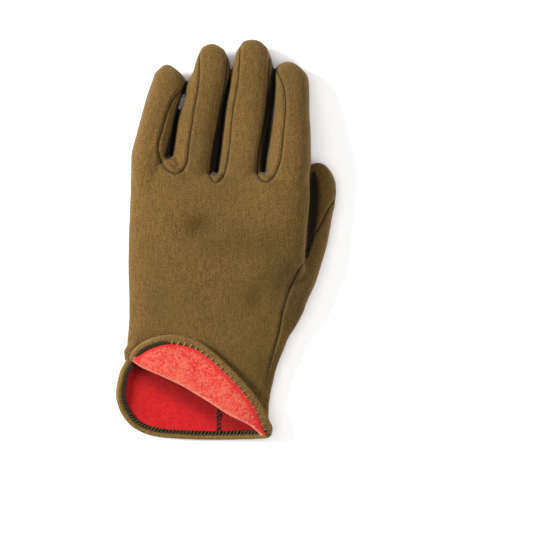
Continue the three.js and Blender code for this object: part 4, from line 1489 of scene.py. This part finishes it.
# Fleece lining, deep into the cuff, with its back half turned over the fold
liningTube = without(handMesh(liningInset), handMesh(liningInset + glove["liningWall"]))
deep = glove["liningDepth"]
deepEnd = prism(np.array([(farLeft, farNear), (farRight, farNear), (farRight, deep), (farLeft, deep)]))
liningTrim = prism(trimOutline(hemBand["liningTrim"]))
sleeve = without(within(liningTube, deepEnd, liningTrim), hemRoom)
palmLining = without(sleeve, aboveMiddle(-halfGap))
flapLining = foldedSheet(glove["foldRadius"] + liningInset, glove["liningWall"])
jerseyRoom = without(handMesh(0), handMesh(liningInset), prism(mouthOutline(glove["seamGap"])))
backLining = without(within(sleeve, aboveMiddle(halfGap)), mouthCut)
backLining = joinedWith(backLining, without(flapLining, hemRoom, jerseyRoom))


liningShade = {
    "foldReach": 0.88, "foldWidth": 0.0011, "foldRise": 0.0012, "under": 0.017, "strip": 0.45,
    "stripFrom": 0.0016, "stripWidth": 0.0042, "stripSoft": 0.0006, "hemReach": 0.0032, "hemEnd": 0.8,
    "endFrom": 16, "endSoft": 8,
}
liningSeam = {"across": -0.4, "from": 1.9, "to": 20.0, "half": 0.0015, "over": 0.0001}


# Painted highlight along the upper half of the fold's roll, where its edge catches the light
def nearFold(points):
    shares = np.linspace(0, 1, 120)
    fold = foldPoints(shares)
    outward = unit(fold - curveAt(planPoints(flapEdge), shares))
    reach = liningShade["foldReach"] * (glove["foldRadius"] + stackHeight) * tightAt(shares)
    distance = distanceTo(fold + outward * reach[:, None], points[:, :2])
    raised = points[:, 2] - handHeight(points[:, 0], points[:, 1], 1)
    onTop = smoothStep((raised - 0.5 * glove["foldRadius"]) / liningShade["foldRise"])
    return np.exp(-(distance / liningShade["foldWidth"]) ** 2) * onTop


# Painted shade: the palm's lining is dimmer the deeper it lies under the fold. It is also dimmer beside its
# seam
def underFold(points):
    start, end, towards = foldAxis()
    depth = (points[:, :2] - start) @ towards
    shade = smoothStep((depth + liningShade["under"]) / liningShade["under"])
    beside = points[:, 0] - across(liningSeam["across"]) - liningShade["stripFrom"]
    strip = smoothStep(beside / liningShade["stripSoft"])
    strip = strip * smoothStep((liningShade["stripWidth"] - beside) / liningShade["stripSoft"])
    return np.maximum(shade, liningShade["strip"] * strip)


# The flap's lining is less napped along its hem
def nearHem(points):
    distance = distanceTo(edgeLine(flapEdge, 200), points[:, :2]) - hemBand["width"]
    beyond = points[:, 0] - across(liningShade["endFrom"])
    rightEnd = smoothStep(beyond / across(liningShade["endSoft"]))
    nearness = 1 - smoothStep(distance / liningShade["hemReach"])
    return np.maximum(nearness, liningShade["hemEnd"] * rightEnd)


palmSheet = finishPiece(
    "palmLining", palmLining, palmFleece, "palm_lining", {"inside": underFold}
)
backSheet = finishPiece(
    "backLining", backLining, flapFleece, "back_lining",
    {"foldHighlight": nearFold, "plain": nearHem},
)


# Ends of the flap's band that carry painted shade on its inner flank
flapEndShade = {"leftTo": -33, "leftSoft": 14, "rightFrom": 23.5, "rightSoft": 3}


# How far in a point of the band is, where its inner side is darker: the overlock's dark thread along
# the palm, and painted shade on the inner flank at both ends of the flap
def threadAndShadeAt(points):
    plan = points[:, :2]
    palm, over = (
        distanceTo(edgeLine(pairs, 200), plan) / hemBand["width"] for pairs in (palmEdge, flapEdge)
    )
    leftEnd = 1 - smoothStep((plan[:, 0] - across(flapEndShade["leftTo"])) / across(flapEndShade["leftSoft"]))
    rightEnd = smoothStep((plan[:, 0] - across(flapEndShade["rightFrom"])) / across(flapEndShade["rightSoft"]))
    onFlap = (over < palm) & (raisedBy(points) > 0)
    return np.clip(np.where(onFlap, over * np.maximum(leftEnd, rightEnd), palm), 0, 1)


cuffHem = finishPiece("cuffHem", hemBody, hemCloth, "cuff_hem", {"inner": threadAndShadeAt})
print("cuff hem made")


stitching = {
    "palm": {"Pitch": 0.0023, "Span": 0.0027, "Slant": 0.0014, "Arch": 0.0004, "Thread": 0.00038, "Seed": 3},
    "flap": {"Pitch": 0.0040, "Span": 0.0020, "Slant": 0.0007, "Arch": 0.0003, "Thread": 0.00040, "Seed": 5},
    "cross": {"Pitch": 0.0027, "Span": 0.0028, "Slant": 0.0022, "Arch": 0.0003, "Thread": 0.00040, "Seed": 7},
}


# Stitches in a row: one short bent thread for each step of the path
def stitchTree():
    group = bpy.data.node_groups.new("stitchRow", "GeometryNodeTree")
    addSocket(group, "Geometry", "Geometry")
    for label in ("Pitch", "Span", "Slant", "Arch", "Thread"):
        addSocket(group, label, "Float", stitching["palm"][label])
    addSocket(group, "Seed", "Int", 1)
    addSocket(group, "Material", "Material")
    addSocket(group, "Geometry", "Geometry", direction="OUTPUT")
    given = addNode(group, "NodeGroupInput").outputs
    path = addNode(group, "GeometryNodeMeshToCurve", {"Mesh": given["Geometry"]})
    steps = {"Curve": path.outputs["Curve"], "Length": given["Pitch"]}
    spaced = addNode(group, "GeometryNodeResampleCurve", steps, mode="LENGTH")
    bend = {"Resolution": 5}
    for name, *shares in (("Start", -0.5, 0.0, 0.0), ("Middle", 0.0, 0.5, 2.0), ("End", 0.5, 1.0, 0.0)):
        corner = addNode(group, "ShaderNodeCombineXYZ")
        for axis, size, share in zip("XYZ", ("Slant", "Span", "Arch"), shares):
            feed(group, corner.inputs[axis], addMath(group, "MULTIPLY", given[size], share))
        bend[name] = corner.outputs[0]
    bent = addNode(group, "GeometryNodeCurveQuadraticBezier", bend)
    circle = {"Resolution": 6, "Radius": given["Thread"]}
    profile = addNode(group, "GeometryNodeCurvePrimitiveCircle", circle)
    swept = {"Curve": bent.outputs["Curve"], "Profile Curve": profile.outputs["Curve"], "Fill Caps": True}
    thread = addNode(group, "GeometryNodeCurveToMesh", swept)
    aims = {}
    for name, axis in (("up", "Primary Axis"), ("forward", "Secondary Axis")):
        aim = addNode(group, "GeometryNodeInputNamedAttribute", data_type="FLOAT_VECTOR")
        aim.inputs["Name"].default_value = name
        aims[axis] = aim.outputs["Attribute"]
    turned = addNode(group, "FunctionNodeAxesToRotation", aims, primary_axis="Z", secondary_axis="X")
    spread = {2: 0.85, 3: 1.15, "Seed": given["Seed"]}
    size = addNode(group, "FunctionNodeRandomValue", spread, data_type="FLOAT")
    placed = addNode(group, "GeometryNodeInstanceOnPoints", {
        "Points": spaced.outputs["Curve"], "Instance": thread.outputs["Mesh"],
        "Rotation": turned.outputs["Rotation"], "Scale": size.outputs[1],
    })
    real = addNode(group, "GeometryNodeRealizeInstances", {"Geometry": placed.outputs["Instances"]})
    cover = {"Geometry": real.outputs["Geometry"], "Material": given["Material"]}
    covered = addNode(group, "GeometryNodeSetMaterial", cover)
    addNode(group, "NodeGroupOutput", {"Geometry": covered.outputs["Geometry"]})
    return group


stitchRow = stitchTree()
onHem = BVHTree.FromObject(cuffHem, bpy.context.evaluated_depsgraph_get())


hemRay = {"over": 0.003, "length": 0.01}


# Points of a row moved straight down on to the band that they are sewn on
def laidOnHem(points):
    laid = points.copy()
    for index, point in enumerate(points + tableOrigin):
        above = Vector(point) + Vector((0, 0, hemRay["over"]))
        hit = onHem.ray_cast(above, Vector((0, 0, -1)), hemRay["length"])[0]
        if hit:
            laid[index, 2] = hit.z
    return laid


def sewRow(name, path, aside, up, material, slot, sizes):
    points = path + tableOrigin
    mesh = bpy.data.meshes.new(name)
    mesh.from_pydata(points.tolist(), [(i, i + 1) for i in range(len(points) - 1)], [])
    forward = np.cross(aside, up)
    for label, vectors in (("forward", forward), ("up", up)):
        attribute = mesh.attributes.new(label, "FLOAT_VECTOR", "POINT")
        attribute.data.foreach_set("vector", np.ascontiguousarray(vectors, np.float32).ravel())
    row = bpy.data.objects.new(name, mesh)
    scene.collection.objects.link(row)
    modifier = row.modifiers.new("stitches", "NODES")
    modifier.node_group = stitchRow
    given = {**sizes, "Material": material}
    for socket in stitchRow.interface.items_tree:
        if socket.in_out == "INPUT" and socket.name in given:
            modifier[socket.identifier] = given[socket.name]
    graph = bpy.context.evaluated_depsgraph_get()
    sewn = bpy.data.meshes.new_from_object(row.evaluated_get(graph))
    row.modifiers.remove(modifier)
    row.data = sewn
    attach(row, "root")
    print(name, "has", len(sewn.polygons), "faces")


# A row along a band: points on its top, a share of its width in, with their ways in and up
def bandRow(edgePairs, aims, heightAt, curled, depth, start, end):
    shares = np.linspace(start, end, 220)
    whole = np.linspace(0, 1, 400)
    line = edgeLine(edgePairs, 400)
    edge, inward = (
        np.stack([np.interp(shares, whole, values[:, k]) for k in range(2)], axis=1)
        for values in (line, inwardAt(line, aims(whole)))
    )
    borders = bandBorders(edge, inward, shares, (0, hemBand["width"]), heightAt, curled)
    outer, inner = (border[:, 2] for border in borders)
    top = outer * (1 - depth) + inner * depth + hemBand["thickness"] / 2 * slopeAt(depth)
    points = np.c_[edge + inward * hemBand["width"] * depth, top]
    aside = unit(np.c_[inward * hemBand["width"], inner - outer])
    up = unit(np.cross(np.gradient(points, axis=0), aside))
    return laidOnHem(points), aside, up * np.sign(up[:, 2:3])


# Each row's place: the share of the band's width in, and where along the band it starts and ends
rowPlace = {"palm": (0.48, 0.03, 0.97), "flap": (0.56, 0.33, 0.91)}
palmRow = bandRow(*palmSide, *rowPlace["palm"])
sewRow("palmHemStitches", *palmRow, brownThread, "hem", stitching["palm"])
flapRow = bandRow(*flapSide, *rowPlace["flap"])
sewRow("flapHemStitches", *flapRow, tanThread, "hem", stitching["flap"])

# Crossed black stitches of the seam in the palm's lining
seamY = along(np.linspace(liningSeam["from"], liningSeam["to"], 60))
seamX = np.full(seamY.shape, across(liningSeam["across"]) - liningSeam["half"])
seamTop = handHeight(seamX, seamY, -1) + liningInset + glove["liningWall"] + liningSeam["over"]
aside, upward = (np.tile(way, (len(seamY), 1)) for way in ([1.0, 0, 0], [0, 0, 1.0]))
for name, lean in (("liningSeamA", 1), ("liningSeamB", -1)):
    sizes = dict(stitching["cross"], Slant=lean * stitching["cross"]["Slant"])
    sewRow(name, np.c_[seamX, seamY, seamTop], aside, upward, blackThread, "fleece", sizes)
print("stitches sewn")

visualLow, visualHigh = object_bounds()
sizes = {
    "cad": [list(cadLow), list(cadHigh)],
    "visual": [list(visualLow), list(visualHigh)],
}
